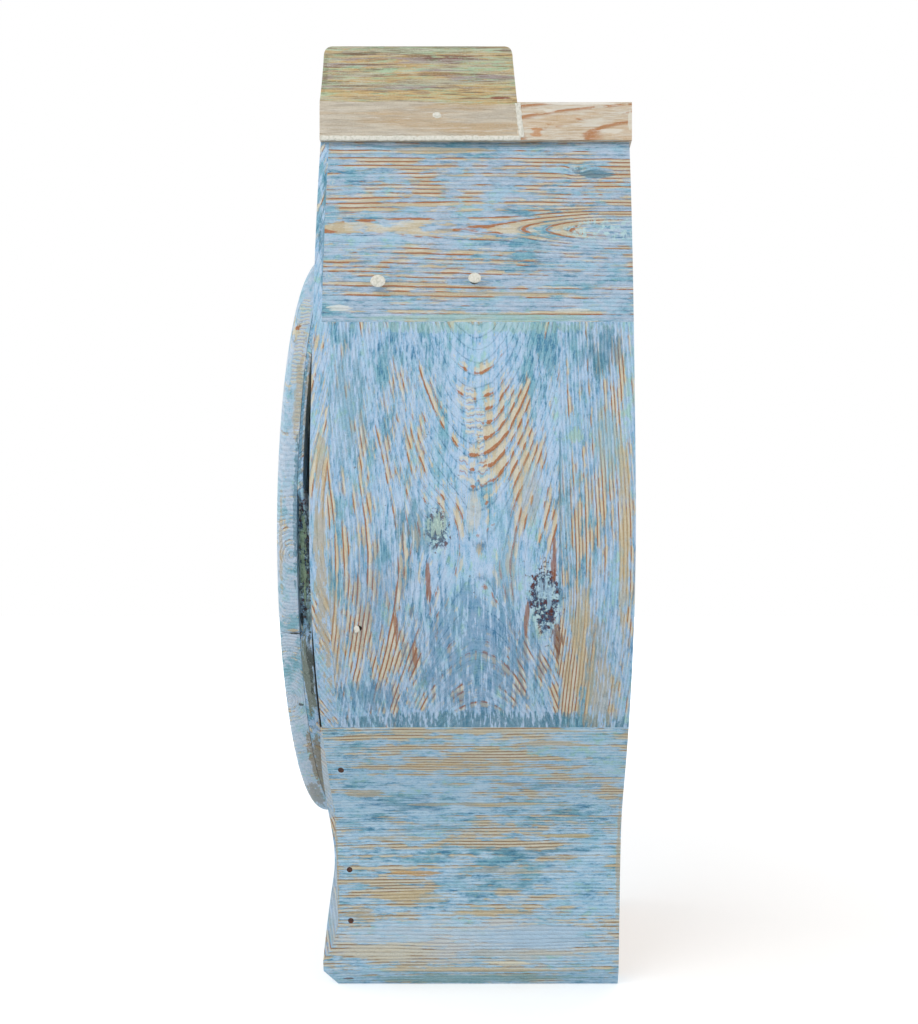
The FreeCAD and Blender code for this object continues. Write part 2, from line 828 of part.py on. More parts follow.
class Toothing:
    """The teeth of one wheel or pinion, and the turn that lets it mesh with its neighbour."""

    def __init__(self, teeth, module, x, z, leaves=False, phase=0.0):
        self.teeth, self.module, self.x, self.z, self.phase = teeth, module, x, z, phase
        self.pitch_radius = teeth * module / 2
        self.pitch_deg = 360 / teeth
        if leaves:
            self.shares = (leaf_addendum_share, leaf_dedendum_share, leaf_tooth_share, leaf_tip_share)
        else:
            self.shares = (wheel_addendum_share, wheel_dedendum_share, wheel_tooth_share, wheel_tip_share)

    def mate(self, teeth, bearing_deg, leaves=False):
        """The toothing that meshes with this one, in the direction of a bearing."""
        distance = (self.teeth + teeth) * self.module / 2
        x = self.x + distance * math.cos(math.radians(bearing_deg))
        z = self.z + distance * math.sin(math.radians(bearing_deg))
        return self.mate_at(teeth, x, z, leaves)

    def mate_at(self, teeth, x, z, leaves=False):
        """The toothing that meshes with this one at a known place."""
        bearing = math.degrees(math.atan2(z - self.z, x - self.x))
        offset = (bearing - self.phase) / self.pitch_deg
        phase = bearing + 180 + (offset + half_share) * 360 / teeth
        return Toothing(teeth, self.module, x, z, leaves, phase)

    def root_radius(self):
        """Radius at the bottom of the teeth."""
        return self.pitch_radius - self.shares[1] * self.module

    def outline(self, y):
        """Closed wire round the teeth, four corners to a tooth."""
        addendum, _, tooth, tip = self.shares
        root, top = self.root_radius(), self.pitch_radius + addendum * self.module
        points = []
        for index in range(self.teeth):
            middle = self.phase + index * self.pitch_deg
            for radius, shift in ((root, -tooth), (top, -tip), (top, tip), (root, tooth)):
                angle = math.radians(middle + shift * self.pitch_deg * half_share)
                x = self.x + radius * math.cos(angle)
                z = ring_centre_height + self.z + radius * math.sin(angle)
                points.append(Vector(x, y, z))
        return Part.makePolygon(points + points[:1])

    def solid(self, y, thickness):
        """The toothed blank without arms."""
        return Part.Face(self.outline(y)).extrude(Vector(0, thickness, 0))

    def crossed_out(self, y, thickness):
        """A wheel with a rim, arms and a hub."""
        rim = self.root_radius() - wheel_rim
        return crossed_wheel(Part.Wire(self.outline(y)), rim, self.x, self.z, y, thickness, self.phase)


def crossed_wheel(outline, rim, x, z, y, thickness, phase):
    """A wheel blank with round sectors cut out between its arms."""
    centre = Vector(x, y, ring_centre_height + z)
    wires = [outline]
    for index in range(wheel_arms):
        start = phase + index * 360 / wheel_arms
        wires.append(arm_window(centre, rim, start, 360 / wheel_arms))
    faces = Part.Face(wires[0])
    windows = Part.makeCompound([Part.Face(wire) for wire in wires[1:]])
    return faces.cut(windows).extrude(Vector(0, thickness, 0))


def arm_window(centre, rim, start_deg, sweep_deg):
    """One opening between two arms."""
    outer_trim = math.degrees(math.asin(wheel_arm_width / 2 / rim))
    inner_trim = math.degrees(math.asin(wheel_arm_width / 2 / wheel_hub_radius))
    middle = start_deg + sweep_deg / 2

    def at(radius, degrees):
        angle = math.radians(degrees)
        return centre + Vector(radius * math.cos(angle), 0, radius * math.sin(angle))

    end_deg = start_deg + sweep_deg
    outer = [at(rim, degrees) for degrees in (start_deg + outer_trim, middle, end_deg - outer_trim)]
    inner = [
        at(wheel_hub_radius, degrees)
        for degrees in (end_deg - inner_trim, middle, start_deg + inner_trim)
    ]
    edges = [Part.Arc(*outer).toShape(), Part.makeLine(outer[2], inner[0])]
    edges += [Part.Arc(*inner).toShape(), Part.makeLine(inner[2], outer[0])]
    return Part.Wire(Part.__sortEdges__(edges))


# Toothing of both trains and the motion work
centre_pinion = Toothing(centre_leaves, great_module, 0.0, 0.0, True)
going_great = centre_pinion.mate_at(great_teeth, drum_across, -drum_fall)
centre_wheel = Toothing(centre_teeth, centre_module, 0.0, 0.0)
third_pinion = centre_wheel.mate(third_leaves, third_bearing_deg, True)
third_wheel = Toothing(third_teeth, third_module, third_pinion.x, third_pinion.z)
escape_distance = (third_teeth + escape_leaves) * third_module / 2
escape_z = third_wheel.z + math.sqrt(escape_distance**2 - third_wheel.x**2)
escape_pinion = third_wheel.mate_at(escape_leaves, 0.0, escape_z, True)
strike_great = Toothing(strike_great_teeth, great_module, -drum_across, -drum_fall)
pin_pinion = strike_great.mate(pin_leaves, pin_bearing_deg, True)
pin_wheel = Toothing(pin_teeth, pin_module, pin_pinion.x, pin_pinion.z)
warning_pinion = pin_wheel.mate(warning_leaves, warning_bearing_deg, True)
warning_wheel = Toothing(warning_teeth, warning_module, warning_pinion.x, warning_pinion.z)
fly_pinion = warning_wheel.mate(fly_leaves, fly_bearing_deg, True)
hour_wheel = Toothing(hour_teeth, hour_module, 0.0, 0.0)
minute_pinion = hour_wheel.mate(minute_leaves, -90.0, True)
motion_module = 2 * abs(minute_pinion.z) / (cannon_teeth + minute_teeth)
cannon_wheel = Toothing(cannon_teeth, motion_module, 0.0, 0.0)
minute_wheel = cannon_wheel.mate(minute_teeth, -90.0)
anchor_z = escape_z + anchor_rise


def pivoted_arbor(x, z, radius=arbor_radius, front_y=frame_front_y, back_y=frame_back_y):
    """An arbor between the plates with a thinner pivot through each of them."""
    shaft = rod(radius, x, z, front_y + end_float, back_y - end_float)
    pivot = rod(pivot_radius, x, z, front_y - plate_thickness, back_y + plate_thickness)
    return shaft.fuse(pivot)


def make_train_piece(wheel, wheel_y, pinion, pinion_y):
    """An arbor with its wheel and pinion as one turned and riveted piece."""
    parts = [pivoted_arbor(wheel.x, wheel.z), wheel.crossed_out(wheel_y, wheel_thickness)]
    parts.append(pinion.solid(pinion_y, pinion_length))
    return fuse_all(parts)


def centred(plane_y, thickness, length):
    """Start of a pinion whose middle lies in a wheel's plane."""
    return plane_y + thickness / 2 - length / 2


great_y = frame_front_y + great_wheel_setback
strike_great_y = frame_front_y + strike_great_setback
centre_wheel_y = frame_front_y + centre_wheel_setback
third_wheel_y = frame_front_y + third_wheel_setback
escape_wheel_y = frame_front_y + escape_wheel_setback
pin_wheel_y = frame_front_y + pin_wheel_setback
warning_wheel_y = frame_front_y + warning_wheel_setback
minute_hand_y = dial_front_y - minute_hand_forward
hour_hand_y = dial_front_y - hour_hand_forward
hour_wheel_y = dial_back_y + hour_wheel_back - wheel_thickness
cannon_wheel_y = dial_back_y + cannon_wheel_back - wheel_thickness


def make_centre_arbor():
    """The arbor that turns once an hour and carries the centre wheel and the hands."""
    front = minute_hand_y - collet_height
    parts = [rod(cannon_bore_radius, 0, 0, front, frame_back_y - end_float)]
    parts.append(rod(pivot_radius, 0, 0, front, back_plate_y))
    parts.append(centre_wheel.crossed_out(centre_wheel_y, wheel_thickness))
    pinion_y = centred(great_y, great_wheel_thickness, pinion_length)
    parts.append(centre_pinion.solid(pinion_y, pinion_length))
    return fuse_all(parts)


def make_drum(toothing, wheel_y):
    """A great wheel with its line drum, arbor and winding square."""
    x, z = toothing.x, toothing.z
    drum_end = frame_back_y - drum_back_gap
    drum_start = wheel_y + great_wheel_thickness
    square_y = dial_front_y - winding_square_length / 2
    half = winding_square_side / 2
    height = ring_centre_height + z
    parts = [toothing.solid(wheel_y, great_wheel_thickness)]
    parts.append(rod(drum_radius, x, z, drum_start, drum_end))
    parts.append(rod(drum_flange_radius, x, z, drum_end, drum_end + drum_flange_thickness))
    parts.append(rod(drum_arbor_radius, x, z, square_y + winding_square_length, frame_back_y - end_float))
    parts.append(rod(pivot_radius, x, z, frame_front_y, back_plate_y))
    square_end = square_y + winding_square_length
    parts.append(box(x - half, x + half, square_y, square_end, height - half, height + half))
    return fuse_all(parts)


def make_cannon_wheel():
    """The pipe on the centre arbor with the first wheel of the motion work."""
    pipe = rod(cannon_pipe_radius, 0, 0, minute_hand_y, cannon_wheel_y + wheel_thickness)
    return fuse_all([pipe, cannon_wheel.solid(cannon_wheel_y, wheel_thickness)]).cut(
        rod(cannon_bore_radius, 0, 0, minute_hand_y - overrun, cannon_wheel_y + wheel_thickness + overrun)
    )


def make_hour_wheel():
    """The wheel and pipe that turn once in twelve hours."""
    pipe = rod(hour_pipe_radius, 0, 0, hour_hand_y, hour_wheel_y + wheel_thickness)
    return fuse_all([pipe, hour_wheel.solid(hour_wheel_y, wheel_thickness)]).cut(
        rod(hour_pipe_bore_radius, 0, 0, hour_hand_y - overrun, hour_wheel_y + wheel_thickness + overrun)
    )


def make_minute_wheel():
    """The wheel and pinion between the cannon wheel and the hour wheel."""
    x, z = minute_wheel.x, minute_wheel.z
    pinion_y = centred(hour_wheel_y, wheel_thickness, pinion_length)
    parts = [minute_wheel.solid(cannon_wheel_y, wheel_thickness)]
    parts.append(minute_pinion.solid(pinion_y, cannon_wheel_y - pinion_y))
    parts.append(rod(arbor_radius, x, z, cannon_wheel_y, front_plate_y - end_float))
    parts.append(rod(pivot_radius, x, z, pinion_y, frame_front_y + minute_arbor_tail))
    return fuse_all(parts)


def make_hand(length, tail, width, y, degrees, bore):
    """A flat hand with a round hub, a waist and a fine tip, pointing up before it is turned."""
    centre = ring_centre_height
    half, tip = width / 2, hand_tip_width / 2
    points = [Vector(-tip, y, centre + length), Vector(tip, y, centre + length)]
    points += [Vector(half, y, centre + length * hand_spade_share), Vector(tip + tip, y, centre)]
    points += [Vector(half, y, centre - tail), Vector(-half, y, centre - tail), Vector(-tip - tip, y, centre)]
    points += [Vector(-half, y, centre + length * hand_spade_share)]
    blade = prism(points, Vector(0, hand_thickness, 0))
    hub = rod(hand_hub_radius, 0, 0, y, y + hand_thickness)
    hand = fuse_all([blade, hub]).cut(rod(bore, 0, 0, y - overrun, y + hand_thickness + overrun))
    return turn_about(hand, degrees)


def make_escape_wheel():
    """The thirty pointed teeth that the anchor lets through."""
    root = escape_radius - escape_tooth_height
    x, z, y = 0.0, escape_z, escape_wheel_y
    points = []
    for index in range(escape_teeth):
        for radius, step in ((root, 0), (escape_radius, escape_lean_share)):
            angle = math.radians((index + step) * 360 / escape_teeth)
            height = ring_centre_height + z + radius * math.sin(angle)
            points.append(Vector(x + radius * math.cos(angle), y, height))
    outline = Part.makePolygon(points + points[:1])
    wheel = crossed_wheel(outline, root - wheel_rim / 2, x, z, y, escape_thickness, 0)
    pinion_y = centred(third_wheel_y, wheel_thickness, pinion_length)
    return fuse_all([wheel, pivoted_arbor(x, z), escape_pinion.solid(pinion_y, pinion_length)])


def make_anchor():
    """The anchor, its arbor and the crutch that drives the pendulum."""
    y = escape_wheel_y + escape_thickness / 2 - anchor_thickness / 2
    height = ring_centre_height + anchor_z
    half = anchor_arm_width / 2
    drop = height - pallet_drop
    parts = [rod(anchor_hub_radius, 0, anchor_z, y, y + anchor_thickness)]
    for side in (-1, 1):
        reach = side * pallet_reach
        points = [Vector(0, y, height + half), Vector(reach, y, drop + half), Vector(reach, y, drop - half)]
        points.append(Vector(0, y, height - half))
        parts.append(prism(points, Vector(0, anchor_thickness, 0)))
        outer, inner = sorted((reach, reach - side * pallet_width))
        parts.append(box(outer, inner, y, y + anchor_thickness, drop - pallet_length, drop))
    end_y = back_plate_y + cock_reach
    shaft = rod(arbor_radius, 0, anchor_z, frame_front_y + end_float, frame_back_y - end_float)
    parts.append(shaft)
    parts.append(rod(pivot_radius, 0, anchor_z, front_plate_y, end_y))
    crutch_y = back_plate_y + crutch_gap
    low = height - crutch_length
    wide = crutch_width / 2
    parts.append(rod(anchor_hub_radius, 0, anchor_z, crutch_y, crutch_y + crutch_thickness))
    parts.append(box(-wide, wide, crutch_y, crutch_y + crutch_thickness, low, height))
    for side in (-1, 1):
        half_fork = crutch_fork_width / 2
        start, end = sorted((side * half_fork, side * (half_fork - crutch_thickness)))
        parts.append(box(start, end, crutch_y, crutch_y + crutch_fork_depth, low, low + crutch_width))
    fork = crutch_fork_width / 2
    parts.append(box(-fork, fork, crutch_y, crutch_y + crutch_thickness, low, low + crutch_width))
    return fuse_all(parts)


def make_pin_wheel():
    """The wheel whose pins lift the hammer."""
    pinion_y = centred(strike_great_y, great_wheel_thickness, pinion_length)
    parts = [make_train_piece(pin_wheel, pin_wheel_y, pin_pinion, pinion_y)]
    for index in range(strike_pins):
        angle = math.radians(index * 360 / strike_pins)
        x = pin_wheel.x + strike_pin_circle * math.cos(angle)
        z = pin_wheel.z + strike_pin_circle * math.sin(angle)
        end = pin_wheel_y + wheel_thickness
        parts.append(rod(strike_pin_radius, x, z, pin_wheel_y - strike_pin_length, end))
    return fuse_all(parts)


def make_fly():
    """The air brake at the end of the striking train."""
    x, z = fly_pinion.x, fly_pinion.z
    height = ring_centre_height + z
    start = frame_front_y + fly_front_gap
    half = fly_thickness / 2
    vane = box(x - fly_radius, x + fly_radius, start, start + fly_length, height - half, height + half)
    pinion_y = centred(warning_wheel_y, wheel_thickness, pinion_length)
    shaft = rod(pivot_radius, x, z, front_plate_y, back_plate_y)
    return fuse_all([shaft, vane, fly_pinion.solid(pinion_y, pinion_length)])


def make_hammer():
    """The bell hammer on its own arbor, with a tail towards the pin wheel."""
    x, z = -hammer_across, hammer_rise
    y = frame_front_y + hammer_setback - hammer_arm_radius
    middle = y + hammer_arm_radius
    head_x = -(bell_radius + bell_lip + hammer_bell_gap)
    head_z = ring_centre_height + bell_rim_rise
    foot = Vector(x, middle, ring_centre_height + z)
    knee = Vector(head_x - hammer_head_length / 2, middle, head_z)
    arm = Part.makeCylinder(hammer_arm_radius, (knee - foot).Length, foot, knee - foot)
    head_start = Vector(head_x - hammer_head_length, middle, head_z)
    head = Part.makeCylinder(hammer_head_radius, hammer_head_length, head_start, Vector(1, 0, 0))
    tail_end = Vector(x + hammer_tail_length, middle, ring_centre_height + z - hammer_tail_drop)
    tail = Part.makeCylinder(hammer_arm_radius, (tail_end - foot).Length, foot, tail_end - foot)
    hub = rod(hammer_head_radius, x, z, y, y + 2 * hammer_arm_radius)
    return fuse_all([pivoted_arbor(x, z), hub, arm, tail, head])


def make_bell():
    """The bell on top of the movement, and the strap and post that hold it."""
    y = frame_front_y + bell_setback
    rim = ring_centre_height + bell_rim_rise
    crown = rim + bell_height
    waist = bell_radius * bell_waist_share

    def wall(inset):
        mouth = Vector(bell_radius + bell_lip - inset, y, rim)
        start = Vector(bell_radius - inset, y, rim + bell_lip)
        middle = Vector(waist - inset, y, rim + bell_height * bell_waist_height_share)
        return mouth, start, middle, Vector(bell_crown_radius, y, crown - inset)

    outer = wall(0)
    inner = wall(bell_wall)
    edges = [
        Part.makeLine(inner[0], outer[0]),
        Part.makeLine(outer[0], outer[1]),
        Part.Arc(*outer[1:]).toShape(),
        Part.makeLine(outer[3], Vector(bell_post_radius, y, crown)),
        Part.makeLine(Vector(bell_post_radius, y, crown), Vector(bell_post_radius, y, crown - bell_wall)),
        Part.makeLine(Vector(bell_post_radius, y, crown - bell_wall), inner[3]),
        Part.Arc(*inner[1:]).toShape(),
        Part.makeLine(inner[1], inner[0]),
    ]
    face = Part.Face(Part.Wire(Part.__sortEdges__(edges)))
    bell = face.revolve(Vector(0, y, 0), Vector(0, 0, 1), 360)
    strap_top = rim - bell_strap_drop
    half = bell_strap_width / 2
    back = back_plate_y + bell_strap_thickness
    low = ring_centre_height + bell_strap_low
    left, right = bell_strap_across - half, bell_strap_across + half
    ledge = strap_top - bell_strap_width
    parts = [box(left, right, back_plate_y, back, low, strap_top)]
    parts.append(box(-half, right, back_plate_y, back, ledge, strap_top))
    parts.append(box(-half, half, y - half, back, strap_top - bell_strap_thickness, strap_top))
    post_top = crown + bell_post_head_height
    parts.append(upright(bell_post_radius, 0, y, strap_top - bell_strap_thickness, post_top))
    parts.append(upright(bell_post_head, 0, y, crown, post_top))
    return bell, fuse_all(parts)


def make_plates():
    """The two plates of the movement with their pivot holes."""
    low, high = ring_centre_height - plate_low, ring_centre_height + plate_high
    half = plate_half_width
    front = box(-half, half, front_plate_y, frame_front_y, low, high)
    back = box(-half, half, frame_back_y, back_plate_y, low, high)
    pivoted = (third_wheel, escape_pinion, pin_wheel, warning_wheel, fly_pinion)
    pivots = [(wheel.x, wheel.z) for wheel in pivoted]
    pivots += [(0.0, anchor_z), (-hammer_across, hammer_rise)]
    drums = [(going_great.x, going_great.z), (strike_great.x, strike_great.z)]
    small, large = pivot_radius + turning_gap, drum_arbor_radius + turning_gap
    y0, y1 = front_plate_y - overrun, back_plate_y + overrun
    tools = [rod(small, x, z, y0, y1) for x, z in pivots]
    tools.append(rod(small, minute_wheel.x, minute_wheel.z, y0, frame_front_y + overrun))
    tools.append(rod(cannon_bore_radius + turning_gap, 0, 0, y0, frame_front_y + overrun))
    tools.append(rod(small, 0, 0, frame_back_y - overrun, y1))
    for x, z in drums:
        tools.append(rod(large, x, z, y0, frame_front_y + overrun))
        tools.append(rod(small, x, z, frame_back_y - overrun, y1))
    return cut_all(front, tools), cut_all(back, tools)


def make_pillars():
    """Four pillars between the plates."""
    places = [(side * pillar_across, z) for side in (-1, 1) for z in (-pillar_low, pillar_high)]
    return [rod(pillar_radius, x, z, frame_front_y, frame_back_y) for x, z in places]


def make_seat_bolts():
    """Two bolts from under the seat board up to the lower pillars."""
    low = seat_low_height
    top = ring_centre_height - pillar_low
    y = (frame_front_y + frame_back_y) / 2
    bolts = []
    for x in (-pillar_across, pillar_across):
        shank = upright(seat_bolt_radius, x, y, low, top)
        head = upright(seat_bolt_head_radius, x, y, low - seat_bolt_head_height, low)
        bolts.append(shank.fuse(head).cut(rod(pillar_radius, x, -pillar_low, frame_front_y, frame_back_y)))
    return bolts


def make_dial():
    """The sheet iron dial with its winding holes, and the feet that hold it to the front plate."""
    dial = rod(dial_radius, 0, 0, dial_front_y, dial_back_y)
    y0, y1 = dial_front_y - overrun, dial_back_y + overrun
    tools = [rod(dial_centre_hole_radius, 0, 0, y0, y1)]
    tools += [rod(winding_hole_radius, side * drum_across, -drum_fall, y0, y1) for side in (-1, 1)]
    places = [(side * dial_foot_across, z) for side in (-1, 1) for z in (-dial_foot_low, dial_foot_high)]
    feet = [rod(dial_foot_radius, x, z, dial_back_y, front_plate_y) for x, z in places]
    return cut_all(dial, tools), feet


def make_cock():
    """The cock that carries the anchor's back pivot and has the slit for the pendulum's spring."""
    height = ring_centre_height + anchor_z
    top = height + cock_leg_height
    end = back_plate_y + cock_reach
    start = end - cock_bridge_thickness
    inner = cock_half_width - cock_leg_width
    parts = [box(-cock_half_width, cock_half_width, start, end, height - cock_bridge_drop / 2, top)]
    for x0, x1 in ((-cock_half_width, -inner), (inner, cock_half_width)):
        parts.append(box(x0, x1, back_plate_y, end, height, top))
    bore = rod(pivot_radius + turning_gap, 0, anchor_z, start - overrun, end + overrun)
    low = height + pivot_radius + turning_gap + cock_slit
    slit = box(-cock_slit / 2, cock_slit / 2, start - overrun, end + overrun, low, top + overrun)
    return fuse_all(parts).cut(bore).cut(slit)


def build_case():
    """Write the case, the crest and all that is fixed to them."""
    lower, middle, upper = make_side_planks()
    apron = make_neck_apron(lower)
    front_right, front_left = make_front_boards(upper)
    pieces = [lower, middle, upper, front_right]
    pieces, crest_side, nails, plugs = make_fasteners(pieces, make_crest_side())
    lower, middle, upper, front_right = pieces
    sides = {"lower_side": lower, "middle_side": middle, "upper_side": upper, "front_board": front_right}
    sides["crest_side"] = crest_side
    sides["cornice_rear"] = make_cornice()
    sides["back_board"] = make_back_boards()[0]
    for name, piece in sides.items():
        export(name + "_right", [piece])
        export(name + "_left", [mirrored(piece)])
    crest_front, crest_back, crest_lid = make_crest()
    seat, bearers = make_seat()
    export("neck_apron", [apron])
    export("top_board", [make_top_board()])
    export("crest_front", [crest_front])
    export("crest_back", [crest_back])
    export("crest_lid", [crest_lid])
    export("seat_board", [seat])
    export("seat_bearers", bearers)
    export("glue_blocks", make_glue_blocks())
    export("case_nails", nails + [mirrored(nail) for nail in nails])
    export("filler_plugs", plugs + [mirrored(plug) for plug in plugs])


def build_door():
    """Write the round door, its pane and its hinges."""
    front, rear = make_ring_segments()
    for number, (front_segment, rear_segment) in enumerate(zip(front, rear), 1):
        export("ring_front_" + str(number), [front_segment])
        export("ring_rear_" + str(number), [rear_segment])
    pane, bead = make_glazing()
    case_leaves, door_leaves, pins = make_hinges()
    export("door_glass", [pane])
    export("glass_putty", [bead])
    export("hinge_case_leaves", case_leaves)
    export("hinge_door_leaves", door_leaves)
    export("hinge_pins", pins)


def build_movement():
    """Write the dial, the frame, both trains, the hands and the bell."""
    dial, feet = make_dial()
    front_plate, back_plate = make_plates()
    bell, bell_stand = make_bell()
    third_pinion_y = centred(centre_wheel_y, wheel_thickness, pinion_length)
    warning_pinion_y = centred(pin_wheel_y, wheel_thickness, pinion_length)
    hour_sizes = (hour_hand_length, hour_hand_tail, hour_hand_width)
    hour_hand = make_hand(*hour_sizes, hour_hand_y, hour_hand_deg, hour_pipe_radius)
    minute_sizes = (minute_hand_length, minute_hand_tail, minute_hand_width)
    minute_hand = make_hand(*minute_sizes, minute_hand_y, minute_hand_deg, cannon_pipe_radius)
    third = make_train_piece(third_wheel, third_wheel_y, third_pinion, third_pinion_y)
    warning = make_train_piece(warning_wheel, warning_wheel_y, warning_pinion, warning_pinion_y)
    collet = rod(collet_radius, 0, 0, minute_hand_y - collet_height, minute_hand_y)
    collet = collet.cut(rod(cannon_bore_radius, 0, 0, minute_hand_y - collet_height, minute_hand_y))
    export("dial_plate", [dial])
    export("dial_feet", feet)
    export("movement_front_plate", [front_plate])
    export("movement_back_plate", [back_plate])
    export("plate_pillars", make_pillars())
    export("seat_bolts", make_seat_bolts())
    export("bell", [bell])
    export("bell_stand", [bell_stand])
    export("suspension_cock", [make_cock()])
    export("centre_arbor", [make_centre_arbor()])
    export("cannon_wheel", [make_cannon_wheel()])
    export("minute_hand", [minute_hand])
    export("hand_collet", [collet])
    export("hour_wheel", [make_hour_wheel()])
    export("hour_hand", [hour_hand])
    export("minute_wheel", [make_minute_wheel()])
    export("going_drum", [make_drum(going_great, great_y)])
    export("strike_drum", [make_drum(strike_great, strike_great_y)])
    export("third_wheel", [third])
    export("escape_wheel", [make_escape_wheel()])
    export("anchor", [make_anchor()])
    export("pin_wheel", [make_pin_wheel()])
    export("warning_wheel", [warning])
    export("fly", [make_fly()])
    export("hammer", [make_hammer()])


os.makedirs("parts", exist_ok=True)
build_case()
build_door()
build_movement()
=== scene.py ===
"""Dresses the head of a painted longcase clock: worn paint on pine, filler, dial, hands and movement."""
import logging
import math
from collections.abc import Iterable, Iterator
from contextlib import contextmanager
from dataclasses import dataclass, field, replace
from enum import Enum

import bpy
import bmesh
from mathutils import Matrix, Vector

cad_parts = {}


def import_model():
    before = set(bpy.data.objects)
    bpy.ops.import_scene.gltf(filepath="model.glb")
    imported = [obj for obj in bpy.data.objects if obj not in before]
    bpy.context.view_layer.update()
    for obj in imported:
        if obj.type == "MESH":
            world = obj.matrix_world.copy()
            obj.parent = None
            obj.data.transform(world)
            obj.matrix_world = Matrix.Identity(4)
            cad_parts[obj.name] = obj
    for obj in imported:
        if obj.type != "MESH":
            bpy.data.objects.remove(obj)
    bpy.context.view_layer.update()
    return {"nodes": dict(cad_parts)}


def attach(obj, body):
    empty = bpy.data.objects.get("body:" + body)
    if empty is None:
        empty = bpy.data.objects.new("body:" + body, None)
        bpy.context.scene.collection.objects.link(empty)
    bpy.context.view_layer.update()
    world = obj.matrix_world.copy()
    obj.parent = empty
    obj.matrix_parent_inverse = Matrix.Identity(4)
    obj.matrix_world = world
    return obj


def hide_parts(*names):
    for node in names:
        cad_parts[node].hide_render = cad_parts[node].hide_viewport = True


Colour = tuple[float, float, float]
Nodes = dict[str, bpy.types.Object]

log = logging.getLogger("clock_head")

MM = 0.001
DIAL_CENTRE = Vector((0.0, 0.0, 0.307))
BOTH_SIDES = ((1, "right"), (-1, "left"))
SCREEN_WHITE = 255
WHITE = (1.0, 1.0, 1.0)


class Fibre(Enum):
    """Which way the fibres of a board run."""

    DEEP = "front to back"
    UPRIGHT = "up and down"
    WIDE = "side to side"


def tint(red: int, green: int, blue: int) -> Colour:
    """A colour as a screen shows it, turned into the light it stands for.

    Args:
        red: red, from 0 to 255.
        green: green, from 0 to 255.
        blue: blue, from 0 to 255.

    Returns:
        The linear colour.
    """
    shown = [value / SCREEN_WHITE for value in (red, green, blue)]
    return tuple(v / 12.92 if v <= 0.04045 else ((v + 0.055) / 1.055) ** 2.4 for v in shown)


CREAM = tint(206, 198, 174)
TAN = tint(196, 180, 148)
TEAL = tint(78, 130, 152)
DUSK = tint(70, 124, 164)
MINT = tint(168, 206, 192)
OCHRE = tint(200, 164, 110)
SAGE = tint(166, 194, 162)
LILAC = tint(160, 148, 152)
SOOT = tint(52, 56, 52)
PITCH = tint(24, 26, 28)
BARK = tint(152, 136, 104)


def feed(tree: bpy.types.NodeTree, socket: bpy.types.NodeSocket, value: object) -> None:
    """Links an input to a flow, or sets its value.

    Args:
        tree: the nodes that the input is among.
        socket: the input.
        value: the flow or the plain value.
    """
    if isinstance(value, Flow):
        tree.links.new(value.socket, socket)
    else:
        socket.default_value = (*value, 1.0) if socket.type == "RGBA" else value


